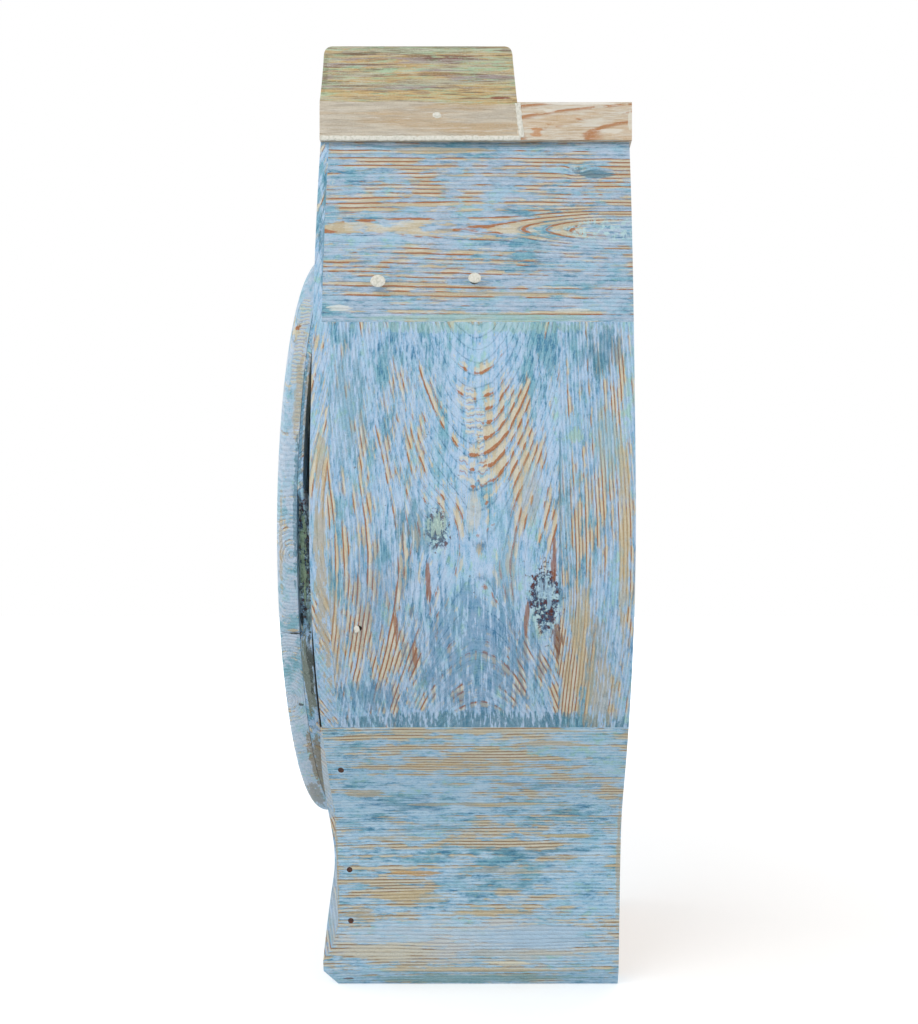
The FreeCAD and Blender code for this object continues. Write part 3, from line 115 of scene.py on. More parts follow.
@dataclass(frozen=True, eq=False)
class Flow:
    """A number, place or colour that one node hands to others, with the sums that can be done with it."""

    tree: bpy.types.NodeTree
    socket: bpy.types.NodeSocket

    def made(self, kind: str, output: int | str, inputs: dict[int | str, object], **settings: object) -> "Flow":
        """Adds a node beside this flow's own.

        Args:
            kind: the node's type, after the word ShaderNode.
            output: which output is wanted.
            inputs: what goes into its inputs, by their names or numbers.
            settings: the node's own settings.

        Returns:
            The output.
        """
        node = self.tree.nodes.new(f"ShaderNode{kind}")
        for name, value in settings.items():
            setattr(node, name, value)
        for name, value in inputs.items():
            feed(self.tree, node.inputs[name], value)
        return Flow(self.tree, node.outputs[output])

    def maths(self, operation: str, other: "Flow | float" = 0.0) -> "Flow":
        """A sum of this amount, and of another where the sum has two."""
        return self.made("Math", 0, {0: self, 1: other}, operation=operation)

    def __add__(self, other: "Flow | float") -> "Flow":
        """This and another amount."""
        return self.maths("ADD", other)

    def __sub__(self, other: "Flow | float") -> "Flow":
        """This without another amount."""
        return self.maths("SUBTRACT", other)

    def __mul__(self, other: "Flow | float") -> "Flow":
        """This many times another amount."""
        return self.maths("MULTIPLY", other)

    def __truediv__(self, other: "Flow | float") -> "Flow":
        """This shared out by another amount."""
        return self.maths("DIVIDE", other)

    def step(self, low: float, high: float) -> "Flow":
        """A soft step.

        Args:
            low: where it is 0.
            high: where it is 1, which may be below low.

        Returns:
            A share from 0 to 1.
        """
        falls = low > high
        inputs = {"Value": self, "From Min": min(low, high), "From Max": max(low, high),
                  "To Min": float(falls), "To Max": float(not falls)}
        return self.made("MapRange", "Result", inputs, interpolation_type="SMOOTHSTEP")

    def peak(self, middle: float, slope: float) -> "Flow":
        """A tent that is 1 at a middle and falls to 0 by a slope on both sides."""
        return ((self - middle).maths("ABSOLUTE") * -slope + 1.0).maths("MAXIMUM")

    def split(self) -> "list[Flow]":
        """The three lengths of this place."""
        node = self.made("SeparateXYZ", 0, {0: self}).socket.node
        return [Flow(self.tree, output) for output in node.outputs]

    def joined(self, second: "Flow", third: "Flow") -> "Flow":
        """A place of which this is the first length."""
        return self.made("CombineXYZ", 0, {0: self, 1: second, 2: third})

    def moved(self, x: float, y: float, z: float) -> "Flow":
        """This place moved by three lengths."""
        return self.made("VectorMath", 0, {0: self, 1: (x, y, z)}, operation="ADD")

    def scaled(self, x: float, y: float, z: float) -> "Flow":
        """This place drawn out by three factors."""
        return self.made("VectorMath", 0, {0: self, 1: (x, y, z)}, operation="MULTIPLY")

    def length(self) -> "Flow":
        """How far this place is from the origin."""
        return self.made("VectorMath", "Value", {0: self}, operation="LENGTH")

    def off_axis(self, x: float, z: float) -> "Flow":
        """How far this place is from a line that runs front to back."""
        return self.moved(-x, 0.0, -z).scaled(1.0, 0.0, 1.0).length()

    def noise(self, scale: float, detail: float = 2.0, rough: float = 0.5) -> "Flow":
        """Cloudy noise at this place.

        Args:
            scale: how many clouds there are in a metre.
            detail: how many finer layers it has.
            rough: how strong the finer layers are.

        Returns:
            The noise, from 0 to 1.
        """
        return self.made("TexNoise", "Fac", {"Vector": self, "Scale": scale, "Detail": detail, "Roughness": rough})

    def between(self, first: "Flow | Colour", second: "Flow | Colour") -> "Flow":
        """A colour between two, of which this is the second one's share."""
        return self.made("Mix", 2, {"Factor": self, 6: first, 7: second}, data_type="RGBA")

    def covered(self, *layers: "tuple[Flow, float, float, float, Flow | Colour]") -> "Flow":
        """This colour under layers of others.

        Args:
            layers: each layer's mask, the low and high end of the mask's soft step, its strength and its colour.

        Returns:
            The colour on top.
        """
        colour = self
        for mask, low, high, strength, tone in layers:
            colour = (mask.step(low, high) * strength).between(colour, tone)
        return colour


def seen_rays(tree: bpy.types.NodeTree) -> Flow:
    """Tells the rays that the camera sees by, straight or through glass and mirrors.

    Args:
        tree: the nodes that the answer is among.

    Returns:
        1 for such a ray, 0 for any other.
    """
    rays = tree.nodes.new("ShaderNodeLightPath").outputs
    seen = Flow(tree, rays["Is Camera Ray"])
    for other in ("Is Glossy Ray", "Is Transmission Ray"):
        seen = seen.maths("MAXIMUM", Flow(tree, rays[other]))
    return seen


class Recipe:
    """One finish, from the place that its sums start with to the surface that they end in."""

    def __init__(self, name: str) -> None:
        """Starts a finish.

        Args:
            name: the material's name.
        """
        self.material = bpy.data.materials.new(name)
        self.material.use_nodes = True
        self.tree = self.material.node_tree
        self.place = Flow(self.tree, self.tree.nodes.new("ShaderNodeTexCoord").outputs["Object"])

    def finish(self, colour: Flow, rough: Flow | float, shine: float, height: Flow | None = None,
               depth: float = 0.0, others: dict[str, object] | None = None) -> bpy.types.Material:
        """Ends the finish.

        Args:
            colour: the surface's colour.
            rough: its roughness.
            shine: its specular level.
            height: how high its relief is, as a share of depth.
            depth: the relief's whole depth in metres.
            others: what goes into other inputs of the surface.

        Returns:
            The material.
        """
        inputs = {"Base Color": colour, "Roughness": rough, "Specular IOR Level": shine, **(others or {})}
        if height is not None:
            inputs["Normal"] = height.made("Bump", "Normal", {"Strength": 1.0, "Distance": depth, "Height": height})
        for name, value in inputs.items():
            feed(self.tree, self.tree.nodes["Principled BSDF"].inputs[name], value)
        return self.material


@dataclass(frozen=True)
class Spot:
    """A place on a board's face, with half its width and height, in metres."""

    y: float
    z: float
    half_y: float
    half_z: float


@dataclass(frozen=True)
class Knot(Spot):
    """A branch that pushes swirl rings aside. dark is how far its heart is broken into crumbs."""

    swirl: float = 3.0
    dark: float = 0.6


@dataclass(frozen=True)
class Touch(Spot):
    """One stroke of paint, filler, wear, painted light or painted shade."""

    colour: Colour
    strength: float = 1.0
    ragged: float = 0.7


@dataclass(frozen=True)
class Wear(Spot):
    """A place where more of the paint is rubbed off, or less where amount is below 0."""

    amount: float


@dataclass(frozen=True)
class Chatter:
    """A narrow column of short cross marks that a plane left on a board's face, in metres."""

    y: float
    low: float
    high: float
    half_y: float
    pitch: float


Mark = Knot | Touch | Wear | Chatter


def rows(kind: type[Mark], table: Iterable[tuple]) -> tuple[Mark, ...]:
    """Marks from a table of their values.

    Args:
        kind: what the marks are.
        table: a row for each, with its lengths in whole and part millimetres. A chatter has five lengths, any other
            mark has four.

    Returns:
        The marks.
    """
    lengths = 5 if kind is Chatter else 4
    return tuple(kind(*(value * MM for value in row[:lengths]), *row[lengths:]) for row in table)


@dataclass(frozen=True)
class Board:
    """How a board was cut from its log, with all lengths in metres.

    heart_across and heart_cross place the log's heart: x and z where the fibres are deep, x and y where they are
    upright, y and z where they are wide. ring is how thick a year ring is, lean how far the heart leaves the board's
    own direction, sway how many rings it wavers by, turn how many degrees the board is turned round the dial and
    column how many worn columns there are in a metre. Past seam, a glued joint, the board is of a second log.
    depth_share is how fast the paint's streaks change with depth, less than 1 where the brush followed a carved face.
    """

    heart_across: float
    heart_cross: float
    fibre: Fibre
    ring: float = 0.004
    lean: float = 0.0
    sway: float = 1.6
    turn: float = 0.0
    column: float = 210.0
    seam: float = 1.0
    second_heart: float = 0.0
    depth_share: float = 1.0
    knots: tuple[Knot, ...] = ()


class Grain:
    """A board's grain as masks from 0 to 1, and the places that the noises of its finish are read at.

    Of each year ring, late is the dark wood, line its sharp edge, ridge its raised band and groove the hollow next
    to it. broken and column wear the rings away in pieces. fibre and streak are the finest and the middling strokes.
    """

    def __init__(self, face: Flow, board: Board) -> None:
        """Works the grain out from the distance to the log's heart.

        Args:
            face: the place on the piece.
            board: how the board was cut.
        """
        self.face = face
        place = face
        if board.turn:
            about = {"Vector": face, "Center": tuple(DIAL_CENTRE), "Angle": math.radians(board.turn)}
            place = face.made("VectorRotate", 0, about, rotation_type="Y_AXIS")
        x, y, z = place.split()
        across, cross, along = {
            Fibre.DEEP: (x, z, y),
            Fibre.UPRIGHT: (x, y, z),
            Fibre.WIDE: (y, z, x),
        }[board.fibre]
        self.place = (across * board.depth_share).joined(cross, along)
        self.drawn = self.stretched(0.45)
        sway = self.stretched(0.16).noise(26.0) - 0.5
        shiver = self.stretched(0.3).noise(120.0) - 0.5
        side = across - board.heart_across - along * board.lean
        past_seam = cross.maths("GREATER_THAN", board.seam)
        rise = cross - (past_seam * (board.second_heart - board.heart_cross) + board.heart_cross)
        reach = (side * side + rise * rise).maths("SQRT")
        ring = reach / board.ring + sway * (board.sway * 2) + shiver * 0.5
        for knot in board.knots:
            ring = ring + self.near(knot, 2.6) * knot.swirl
        season = ring.maths("FRACT")
        year = ring.made("TexWhiteNoise", "Value", {"W": ring.maths("FLOOR")}, noise_dimensions="1D")
        self.late = season.step(0.58, 0.84) * season.step(1.0, 0.92)
        self.ridge = season.peak(0.52, 2.2)
        self.line = season.peak(0.82, 5.5)
        self.groove = season.step(0.12, 0.02).maths("MAXIMUM", season.step(0.94, 1.0))
        self.broken = year * 0.50 + self.stretched(0.26).noise(230.0, 3.0, 0.65).step(0.34, 0.66) * 0.56
        self.column = self.stretched(0.07).noise(board.column).step(0.36, 0.64)
        self.fibre = self.stretched(0.05).noise(1300.0, 4.0, 0.7)
        self.streak = self.stretched(0.10).noise(420.0, 5.0, 0.68)

    def stretched(self, share: float, thin: float = 1.0) -> Flow:
        """The board's place, with its length shortened so that noise is drawn out along the fibres."""
        return self.place.scaled(thin, thin, share)

    def near(self, spot: Spot, spread: float = 1.0) -> Flow:
        """How near a point of the board's face is to a spot.

        Args:
            spot: the spot.
            spread: how many times the spot's own size the mask reaches.

        Returns:
            1 in the middle, falling softly to 0 at the spread.
        """
        offset = self.face.moved(0.0, -spot.y, -spot.z)
        return offset.scaled(0.0, 1 / (spot.half_y * spread), 1 / (spot.half_z * spread)).length().step(1.0, 0.0)

    def touched(self, colour: Flow, touches: Iterable[Touch]) -> Flow:
        """Lays touches over a colour, with edges that the streaks break.

        Args:
            colour: what is under them.
            touches: the touches, from the lowest to the topmost.

        Returns:
            The new colour.
        """
        for touch in touches:
            inside = self.near(touch)
            mask = inside + (self.streak - 0.5) * (touch.ragged * 2.4) * inside.step(0.0, 0.30)
            colour = colour.covered((mask, 0.22, 0.55, touch.strength, touch.colour))
        return colour


@dataclass(frozen=True)
class Coat:
    """The colours of one coat of old paint and of the wood that shows through it."""

    pale: Colour = tint(192, 216, 242)
    middle: Colour = tint(130, 184, 222)
    sky: Colour = tint(152, 206, 230)
    deep: Colour = tint(48, 114, 158)
    teal: Colour = tint(84, 160, 174)
    mint: Colour = tint(178, 220, 186)
    bare: Colour = tint(216, 204, 172)
    worn: Colour = tint(196, 174, 132)
    rust: Colour = tint(172, 104, 56)


@dataclass(frozen=True)
class PaintedPine:
    """Blue paint worn off pine, so that the raised late wood shows.

    bareness, chalk, rust and shade are how much wood shows, how white its ridges and how brown its edges are, and
    how much deep blue there is. outward is the x direction that the painted face looks in, or 0 for paint all round.
    """

    board: Board
    coat: Coat = field(default_factory=Coat)
    bareness: float = 0.5
    chalk: float = 0.85
    rust: float = 0.5
    shade: float = 0.5
    wears: tuple[Wear, ...] = ()
    touches: tuple[Touch, ...] = ()
    chatters: tuple[Chatter, ...] = ()
    outward: int = 0

    def mix(self, name: str) -> bpy.types.Material:
        """Makes the material.

        Args:
            name: the material's name.

        Returns:
            The material.
        """
        recipe = Recipe(name)
        grain = Grain(recipe.place, self.board)
        speck = grain.place.noise(1500.0, 3.0, 0.75)
        dapple = grain.drawn.noise(300.0, 4.0, 0.7)
        colour, shown = self.rub_off(grain, self.old_paint(grain, dapple))
        for chatter in self.chatters:
            colour = self.mark(grain, colour, chatter)
        for knot in self.board.knots:
            colour = self.dark_knot(grain, colour, knot)
        colour = grain.touched(colour, self.touches).covered(
            (speck, 0.54, 0.70, 0.40, tint(220, 230, 230)),
            (speck, 0.46, 0.30, 0.40, tint(76, 110, 124)),
        )
        if self.outward:
            colour = self.bare_inside(grain, colour)
        height = grain.late * 0.45 + grain.fibre * 0.45 + shown * -0.25 + speck * 0.30 + dapple * 0.4
        return recipe.finish(colour, dapple * 0.25 + 0.6, 0.28, height, 0.0008)

    def old_paint(self, grain: Grain, dapple: Flow) -> Flow:
        """The coat as it is where nothing has rubbed it off.

        Args:
            grain: the board's grain.
            dapple: blotches a few millimetres wide.

        Returns:
            The colour.
        """
        coat = self.coat
        cloud = grain.drawn.noise(34.0, 4.0, 0.6)
        other = grain.drawn.moved(5.3, 2.9, 1.1).noise(120.0, 4.0, 0.65)
        fine = grain.stretched(0.30).noise(700.0, 5.0, 0.75)
        mottle = grain.streak * 0.35 + dapple * 0.30 + fine * 0.35
        veil = cloud * 0.5 + other * 0.3 + grain.streak * 0.2
        depth = dapple * 0.35 + veil * 0.4 + grain.fibre * 0.30 + grain.streak * 0.30
        depth = depth + fine * 0.25 + grain.groove * 0.06
        minted = cloud * -0.45 + dapple * 0.7 + other * 0.5
        edge = 0.965 - 0.16 * self.shade
        return mottle.step(0.42, 0.61).between(coat.pale, coat.middle).covered(
            (other, 0.46, 0.60, 0.45, coat.sky),
            (veil, 0.51, 0.60, 0.60, coat.teal),
            (depth, edge, edge + 0.09, 0.75, coat.deep),
            (minted, 0.44, 0.58, 0.50, coat.mint),
        )

    def rub_off(self, grain: Grain, colour: Flow) -> tuple[Flow, Flow]:
        """Shows the wood where wear has taken the paint off it.

        Args:
            grain: the board's grain.
            colour: the paint.

        Returns:
            The new colour, and where the wood shows.
        """
        coat = self.coat
        open_share = (grain.drawn.moved(3.1, 1.7, 0.4).noise(48.0, 4.0, 0.62) - 0.5) * 1.5 + self.bareness
        for wear in self.wears:
            open_share = open_share + grain.near(wear) * wear.amount
        reach = open_share * 0.55 + grain.column * 0.16 + grain.broken * 0.52
        grit = (grain.fibre - 0.5) * 0.25
        washed = open_share.step(0.30, 0.75)
        shown = (reach + grain.streak * 0.50 + grain.fibre * 0.20).step(1.04, 1.18)
        wood = grain.fibre.step(0.35, 0.65).between(coat.bare, coat.worn)
        ridge = (grain.ridge * 0.40 + reach + grit).step(0.93, 1.03)
        cream = grain.streak.step(0.42, 0.60).between(tint(222, 220, 206), coat.bare)
        edge = (grain.line * 0.30 + reach + grit + 0.12 * self.rust).step(0.96, 1.04)
        for share, tone in (
            (washed * grain.fibre.step(0.52, 0.64) * 0.50, tint(212, 208, 188)),
            (washed * grain.fibre.step(0.48, 0.36) * 0.34, coat.deep),
            (shown * 0.85, wood),
            (grain.groove * reach.step(0.50, 0.70) * 0.35, coat.deep),
            (ridge * self.chalk, cream),
            (edge * grain.line.step(0.0, 0.30) * (reach.step(0.58, 0.80) * 0.55 + 0.35), coat.rust),
        ):
            colour = share.between(colour, tone)
        return colour, shown.maths("MAXIMUM", ridge)

    def mark(self, grain: Grain, colour: Flow, chatter: Chatter) -> Flow:
        """Lays one column of a plane's cross marks over a colour.

        Args:
            grain: the board's grain.
            colour: what is under the marks.
            chatter: the marks' column.

        Returns:
            The new colour.
        """
        fade = 0.003
        _, y, z = grain.face.split()
        wobble = grain.broken - 0.5
        across = (y - chatter.y).maths("ABSOLUTE") / chatter.half_y + wobble
        inside = across.step(1.1, 0.7) * z.step(chatter.low, chatter.low + fade)
        inside = inside * z.step(chatter.high, chatter.high - fade)
        beat = (z / chatter.pitch + wobble * 0.8).maths("FRACT")
        bar = beat.step(0.20, 0.36) * beat.step(0.80, 0.66)
        under = beat.step(0.02, 0.10) * beat.step(0.24, 0.16)
        colour = (inside * bar * 0.85).between(colour, tint(220, 216, 198))
        return (inside * under * 0.6).between(colour, self.coat.rust)

    def dark_knot(self, grain: Grain, colour: Flow, knot: Knot) -> Flow:
        """Breaks a knot's heart into dark crumbs between flakes of paint.

        Args:
            grain: the board's grain.
            colour: what is under the crumbs.
            knot: the knot.

        Returns:
            The new colour.
        """
        crumb = grain.place.noise(290.0, 5.0, 0.75)
        inside = grain.near(knot, 1.5)
        rot = crumb.step(0.52, 0.60).between(tint(46, 76, 108), tint(88, 42, 34))
        colour = colour.covered((inside * 0.34 + crumb, 0.66, 0.72, knot.dark, rot))
        flake = crumb.step(0.50, 0.42) * inside.step(0.05, 0.45)
        return (flake * 0.9).between(colour, tint(190, 222, 226))

    def bare_inside(self, grain: Grain, colour: Flow) -> Flow:
        """Leaves the face towards the movement bare.

        Args:
            grain: the board's grain.
            colour: the painted face's colour.

        Returns:
            The colour of both faces.
        """
        facing = grain.face.made("NewGeometry", "Normal", {}).split()[0] * self.outward
        aged = grain.streak.between(tint(190, 158, 118), tint(150, 116, 80))
        aged = (grain.late * 0.6).between(aged, tint(122, 86, 54))
        return facing.step(-0.05, -0.3).between(colour, aged)


@dataclass(frozen=True)
class BarePine:
    """Unpainted pine, browned by age and dust."""

    board: Board
    light: Colour = tint(196, 164, 122)
    dark: Colour = tint(146, 108, 70)

    def mix(self, name: str) -> bpy.types.Material:
        """Makes the material.

        Args:
            name: the material's name.

        Returns:
            The material.
        """
        recipe = Recipe(name)
        grain = Grain(recipe.place, self.board)
        colour = grain.streak.step(0.35, 0.7).between(self.light, self.dark)
        colour = (grain.late * 0.6).between(colour, tint(118, 80, 48))
        colour = colour.covered((grain.place.noise(35.0, 4.0, 0.6), 0.45, 0.75, 0.5, tint(150, 142, 130)))
        return recipe.finish(colour, grain.streak * 0.2 + 0.62, 0.25, grain.late * 0.5 + grain.fibre * 0.5, 0.0004)


@dataclass(frozen=True)
class CrestPine:
    """Pine with mint, ochre and lilac streaks, over a cream band along its foot."""

    board: Board
    band_top: float = 0.5680
    touches: tuple[Touch, ...] = ()
    red: Touch = Touch(0.0265, 0.5712, 0.0110, 0.0018, tint(134, 74, 62), 0.85, 0.9)

    def mix(self, name: str) -> bpy.types.Material:
        """Makes the material.

        Args:
            name: the material's name.

        Returns:
            The material.
        """
        recipe = Recipe(name)
        grain = Grain(recipe.place, self.board)
        slow = grain.stretched(0.10).noise(95.0, 4.0, 0.6)
        other = grain.stretched(0.08, 1.3).noise(160.0, 4.0, 0.6)
        thread = grain.stretched(0.05).noise(900.0, 4.0, 0.7)
        rough = grain.stretched(0.12).noise(420.0, 4.0, 0.7)
        speck = grain.place.noise(1500.0, 2.0, 0.6)
        colour = slow.step(0.42, 0.56).between(tint(182, 176, 152), tint(202, 174, 124))
        colour = colour.covered((other, 0.50, 0.60, 1.0, tint(168, 154, 148)))
        colour = grain.touched(colour, self.touches).covered(
            (grain.streak, 0.50, 0.60, 0.75, tint(172, 204, 170)),
            (thread, 0.53, 0.62, 0.65, tint(204, 206, 184)),
            (thread, 0.48, 0.38, 0.80, tint(116, 96, 74)),
            (rough, 0.56, 0.64, 0.55, tint(206, 170, 112)),
            (rough, 0.44, 0.37, 0.55, tint(138, 124, 112)),
        )
        band = grain.streak.step(0.38, 0.62).between(tint(210, 200, 182), tint(190, 180, 164)).covered(
            (slow, 0.52, 0.64, 0.7, tint(198, 170, 132)),
            (thread, 0.54, 0.64, 0.6, tint(226, 220, 208)),
            (thread, 0.44, 0.34, 0.5, tint(168, 150, 126)),
        )
        level = recipe.place.split()[2] + (slow - 0.5) * 0.012
        colour = colour.covered((level, self.band_top + MM, self.band_top - MM, 1.0, band))
        colour = grain.touched(colour, (self.red,)).covered(
            (speck, 0.58, 0.70, 0.55, tint(212, 220, 204)),
            (speck, 0.42, 0.30, 0.45, tint(120, 110, 92)),
        )
        height = grain.late * 0.4 + thread * 0.7 + speck * 0.2
        return recipe.finish(colour, grain.streak * 0.2 + 0.62, 0.26, height, 0.0008)


@dataclass(frozen=True)
class LimedPine:
    """Pine under a cream wash, with the orange late wood showing in strokes."""

    board: Board
    touches: tuple[Touch, ...] = ()

    def mix(self, name: str) -> bpy.types.Material:
        """Makes the material.

        Args:
            name: the material's name.

        Returns:
            The material.
        """
        recipe = Recipe(name)
        grain = Grain(recipe.place, self.board)
        slow = grain.stretched(0.2).noise(120.0, 3.0, 0.6)
        speck = grain.place.noise(1500.0, 2.0, 0.6)
        strokes = grain.late * grain.broken.step(0.40, 0.52)
        colour = grain.streak.step(0.40, 0.62).between(tint(218, 212, 198), tint(206, 188, 162))
        colour = colour.covered((slow, 0.46, 0.58, 0.6, tint(206, 176, 138)))
        colour = (strokes * 0.90).between(colour, tint(180, 122, 76)).covered(
            (grain.fibre, 0.46, 0.36, 0.5, tint(170, 132, 94)),
            (grain.fibre, 0.55, 0.64, 0.6, tint(230, 226, 216)),
        )
        colour = grain.touched(colour, self.touches).covered((speck, 0.58, 0.70, 0.6, tint(232, 228, 220)))
        return recipe.finish(colour, grain.streak * 0.2 + 0.62, 0.26, grain.late * 0.4 + grain.fibre * 0.6, 0.0007)


@dataclass(frozen=True)
class Filler:
    """White wood filler, chalky and a little stained."""

    colour: Colour = tint(234, 232, 222)
    stain: Colour = tint(206, 206, 192)

    def mix(self, name: str) -> bpy.types.Material:
        """Makes the material.

        Args:
            name: the material's name.

        Returns:
            The material.
        """
        recipe = Recipe(name)
        chalk = recipe.place.noise(700.0, 4.0, 0.65)
        colour = chalk.step(0.42, 0.70).between(self.colour, self.stain)
        return recipe.finish(colour, chalk * 0.2 + 0.7, 0.2, chalk, 0.0005)


@dataclass(frozen=True)
class Metal:
    """A worked metal with fine scratches and tarnish, and a core of another metal round a line at axis_x, axis_z."""

    bright: Colour
    tarnish: Colour
    rough: float = 0.32
    tarnished: float = 0.5
    metal: float = 1.0
    core: Colour | None = None
    core_radius: float = 0.0034
    axis_x: float = 0.0
    axis_z: float = 0.0

    def mix(self, name: str) -> bpy.types.Material:
        """Makes the material.

        Args:
            name: the material's name.

        Returns:
            The material.
        """
        recipe = Recipe(name)
        cloud = recipe.place.noise(90.0, 5.0, 0.6)
        scratch = recipe.place.scaled(1.0, 0.2, 0.06).noise(2600.0, 2.0, 0.6)
        spots = recipe.place.noise(900.0, 3.0, 0.6)
        clean = 0.62 - 0.25 * self.tarnished
        shade = (cloud * 0.7 + spots * 0.3).step(clean, clean + 0.16)
        colour = shade.between(self.bright, self.tarnish)
        if self.core:
            away = recipe.place.off_axis(self.axis_x, self.axis_z)
            colour = colour.covered((away, self.core_radius + 0.0002, self.core_radius, 1.0, self.core))
        rough = shade * 0.22 + self.rough + scratch * 0.10
        return recipe.finish(colour, rough, 0.5, scratch * 0.5 + spots * 0.5, 0.00006, {"Metallic": self.metal})


@dataclass(frozen=True)
class OldNails:
    """Rusty nails, of which the upper ones are painted over."""

    painted_above: float = 0.40

    def mix(self, name: str) -> bpy.types.Material:
        """Makes the material.

        Args:
            name: the material's name.

        Returns:
            The material.
        """
        recipe = Recipe(name)
        spots = recipe.place.noise(900.0, 4.0, 0.6)
        coat = spots.step(0.42, 0.58).between(tint(142, 180, 204), tint(180, 198, 206))
        colour = spots.step(0.40, 0.62).between(tint(58, 46, 44), tint(104, 66, 48)).covered(
            (recipe.place.split()[2], self.painted_above - 0.01, self.painted_above, 1.0, coat)
        )
        return recipe.finish(colour, spots * 0.3 + 0.6, 0.3, spots, 0.0004)


@dataclass(frozen=True)
class DialPaint:
    """Cream paint on sheet iron, yellowed and chipped round its edge."""

    chipped_from: float = 0.13
    edge: float = 0.162

    def mix(self, name: str) -> bpy.types.Material:
        """Makes the material.

        Args:
            name: the material's name.

        Returns:
            The material.
        """
        recipe = Recipe(name)
        cloud = recipe.place.noise(24.0, 5.0, 0.6)
        rim = recipe.place.off_axis(DIAL_CENTRE.x, DIAL_CENTRE.z).step(self.chipped_from, self.edge)
        chips = recipe.place.noise(160.0, 5.0, 0.7) + rim * 0.14
        speck = recipe.place.noise(1200.0)
        colour = cloud.step(0.35, 0.7).between(tint(228, 222, 202), tint(208, 198, 168)).covered(
            (chips, 0.71, 0.74, 1.0, tint(96, 66, 48)),
            (speck, 0.66, 0.72, 0.4, tint(120, 92, 66)),
        )
        return recipe.finish(colour, cloud * 0.3 + 0.34, 0.4, chips, 0.0003)


@dataclass(frozen=True)
class WindowGlass:
    """Old drawn glass with slow waves."""

    bend: float = 1.46

    def mix(self, name: str) -> bpy.types.Material:
        """Makes the material.

        Args:
            name: the material's name.

        Returns:
            The material.
        """
        recipe = Recipe(name)
        wave = recipe.place.scaled(1.0, 1.0, 0.4).noise(14.0, 2.0, 0.4)
        colour = wave.between(tint(244, 250, 247), tint(236, 246, 241))
        return recipe.finish(colour, wave * 0.03, 0.5, wave, 0.0006, {"Transmission Weight": 1.0, "IOR": self.bend})


def pick(*pieces: bpy.types.Object) -> None:
    """Selects pieces and nothing else, the first as the active one.

    Args:
        pieces: the pieces.
    """
    bpy.ops.object.select_all(action="DESELECT")
    for piece in pieces:
        piece.select_set(True)
    bpy.context.view_layer.objects.active = pieces[0]


@contextmanager
def editing(piece: bpy.types.Object) -> Iterator[bmesh.types.BMesh]:
    """Edit mode on one piece, with nothing selected in it at first.

    Args:
        piece: the piece to edit.

    Yields:
        The piece's edit mesh.
    """
    pick(piece)
    bpy.ops.object.mode_set(mode="EDIT")
    bpy.ops.mesh.select_all(action="DESELECT")
    mesh = bmesh.from_edit_mesh(piece.data)
    mesh.verts.ensure_lookup_table()
    yield mesh
    bpy.ops.object.mode_set(mode="OBJECT")


def settle(piece: bpy.types.Object) -> bpy.types.Object:
    """Puts a piece's place into its mesh, so that its object sits at the origin.

    Args:
        piece: the piece.

    Returns:
        The same piece.
    """
    pick(piece)
    bpy.ops.object.transform_apply(location=True, rotation=True, scale=True)
    return piece


def hand_over(piece: bpy.types.Object, name: str, body: str, material: bpy.types.Material) -> None:
    """Names, dresses and fixes a finished piece.

    Args:
        piece: the piece.
        name: its name.
        body: the body it rides on.
        material: its finish.
    """
    settle(piece)
    piece.name = name
    piece.data.name = name
    piece.data.materials.clear()
    piece.data.materials.append(material)
    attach(piece, body)
    log.info("%s: %d faces, rides on %s", name, len(piece.data.polygons), body)


def tool(kind: str, piece: bpy.types.Object, **settings: object) -> None:
    """Gives a piece one modifier and applies it.

    Args:
        kind: the modifier's type.
        piece: the piece.
        settings: the modifier's settings.
    """
    pick(piece)
    bpy.ops.object.modifier_add(type=kind)
    modifier = piece.modifiers[-1]
    for name, value in settings.items():
        setattr(modifier, name, value)
    bpy.ops.object.modifier_apply(modifier=modifier.name)


def as_one(pieces: list[bpy.types.Object]) -> bpy.types.Object:
    """Joins several meshes into the first of them.

    Args:
        pieces: the meshes.

    Returns:
        The joined mesh.
    """
    pick(*pieces)
    bpy.ops.object.join()
    return pieces[0]


def paint(nodes: Nodes, material: bpy.types.Material, *names: str) -> None:
    """Gives carried-over solids their finish.

    Args:
        nodes: the carried-over solids by name.
        material: the finish.
        names: the solids to dress.
    """
    for name in names:
        piece = nodes[name]
        piece.data.materials.clear()
        piece.data.materials.append(material)
        log.info("%s dressed", name)


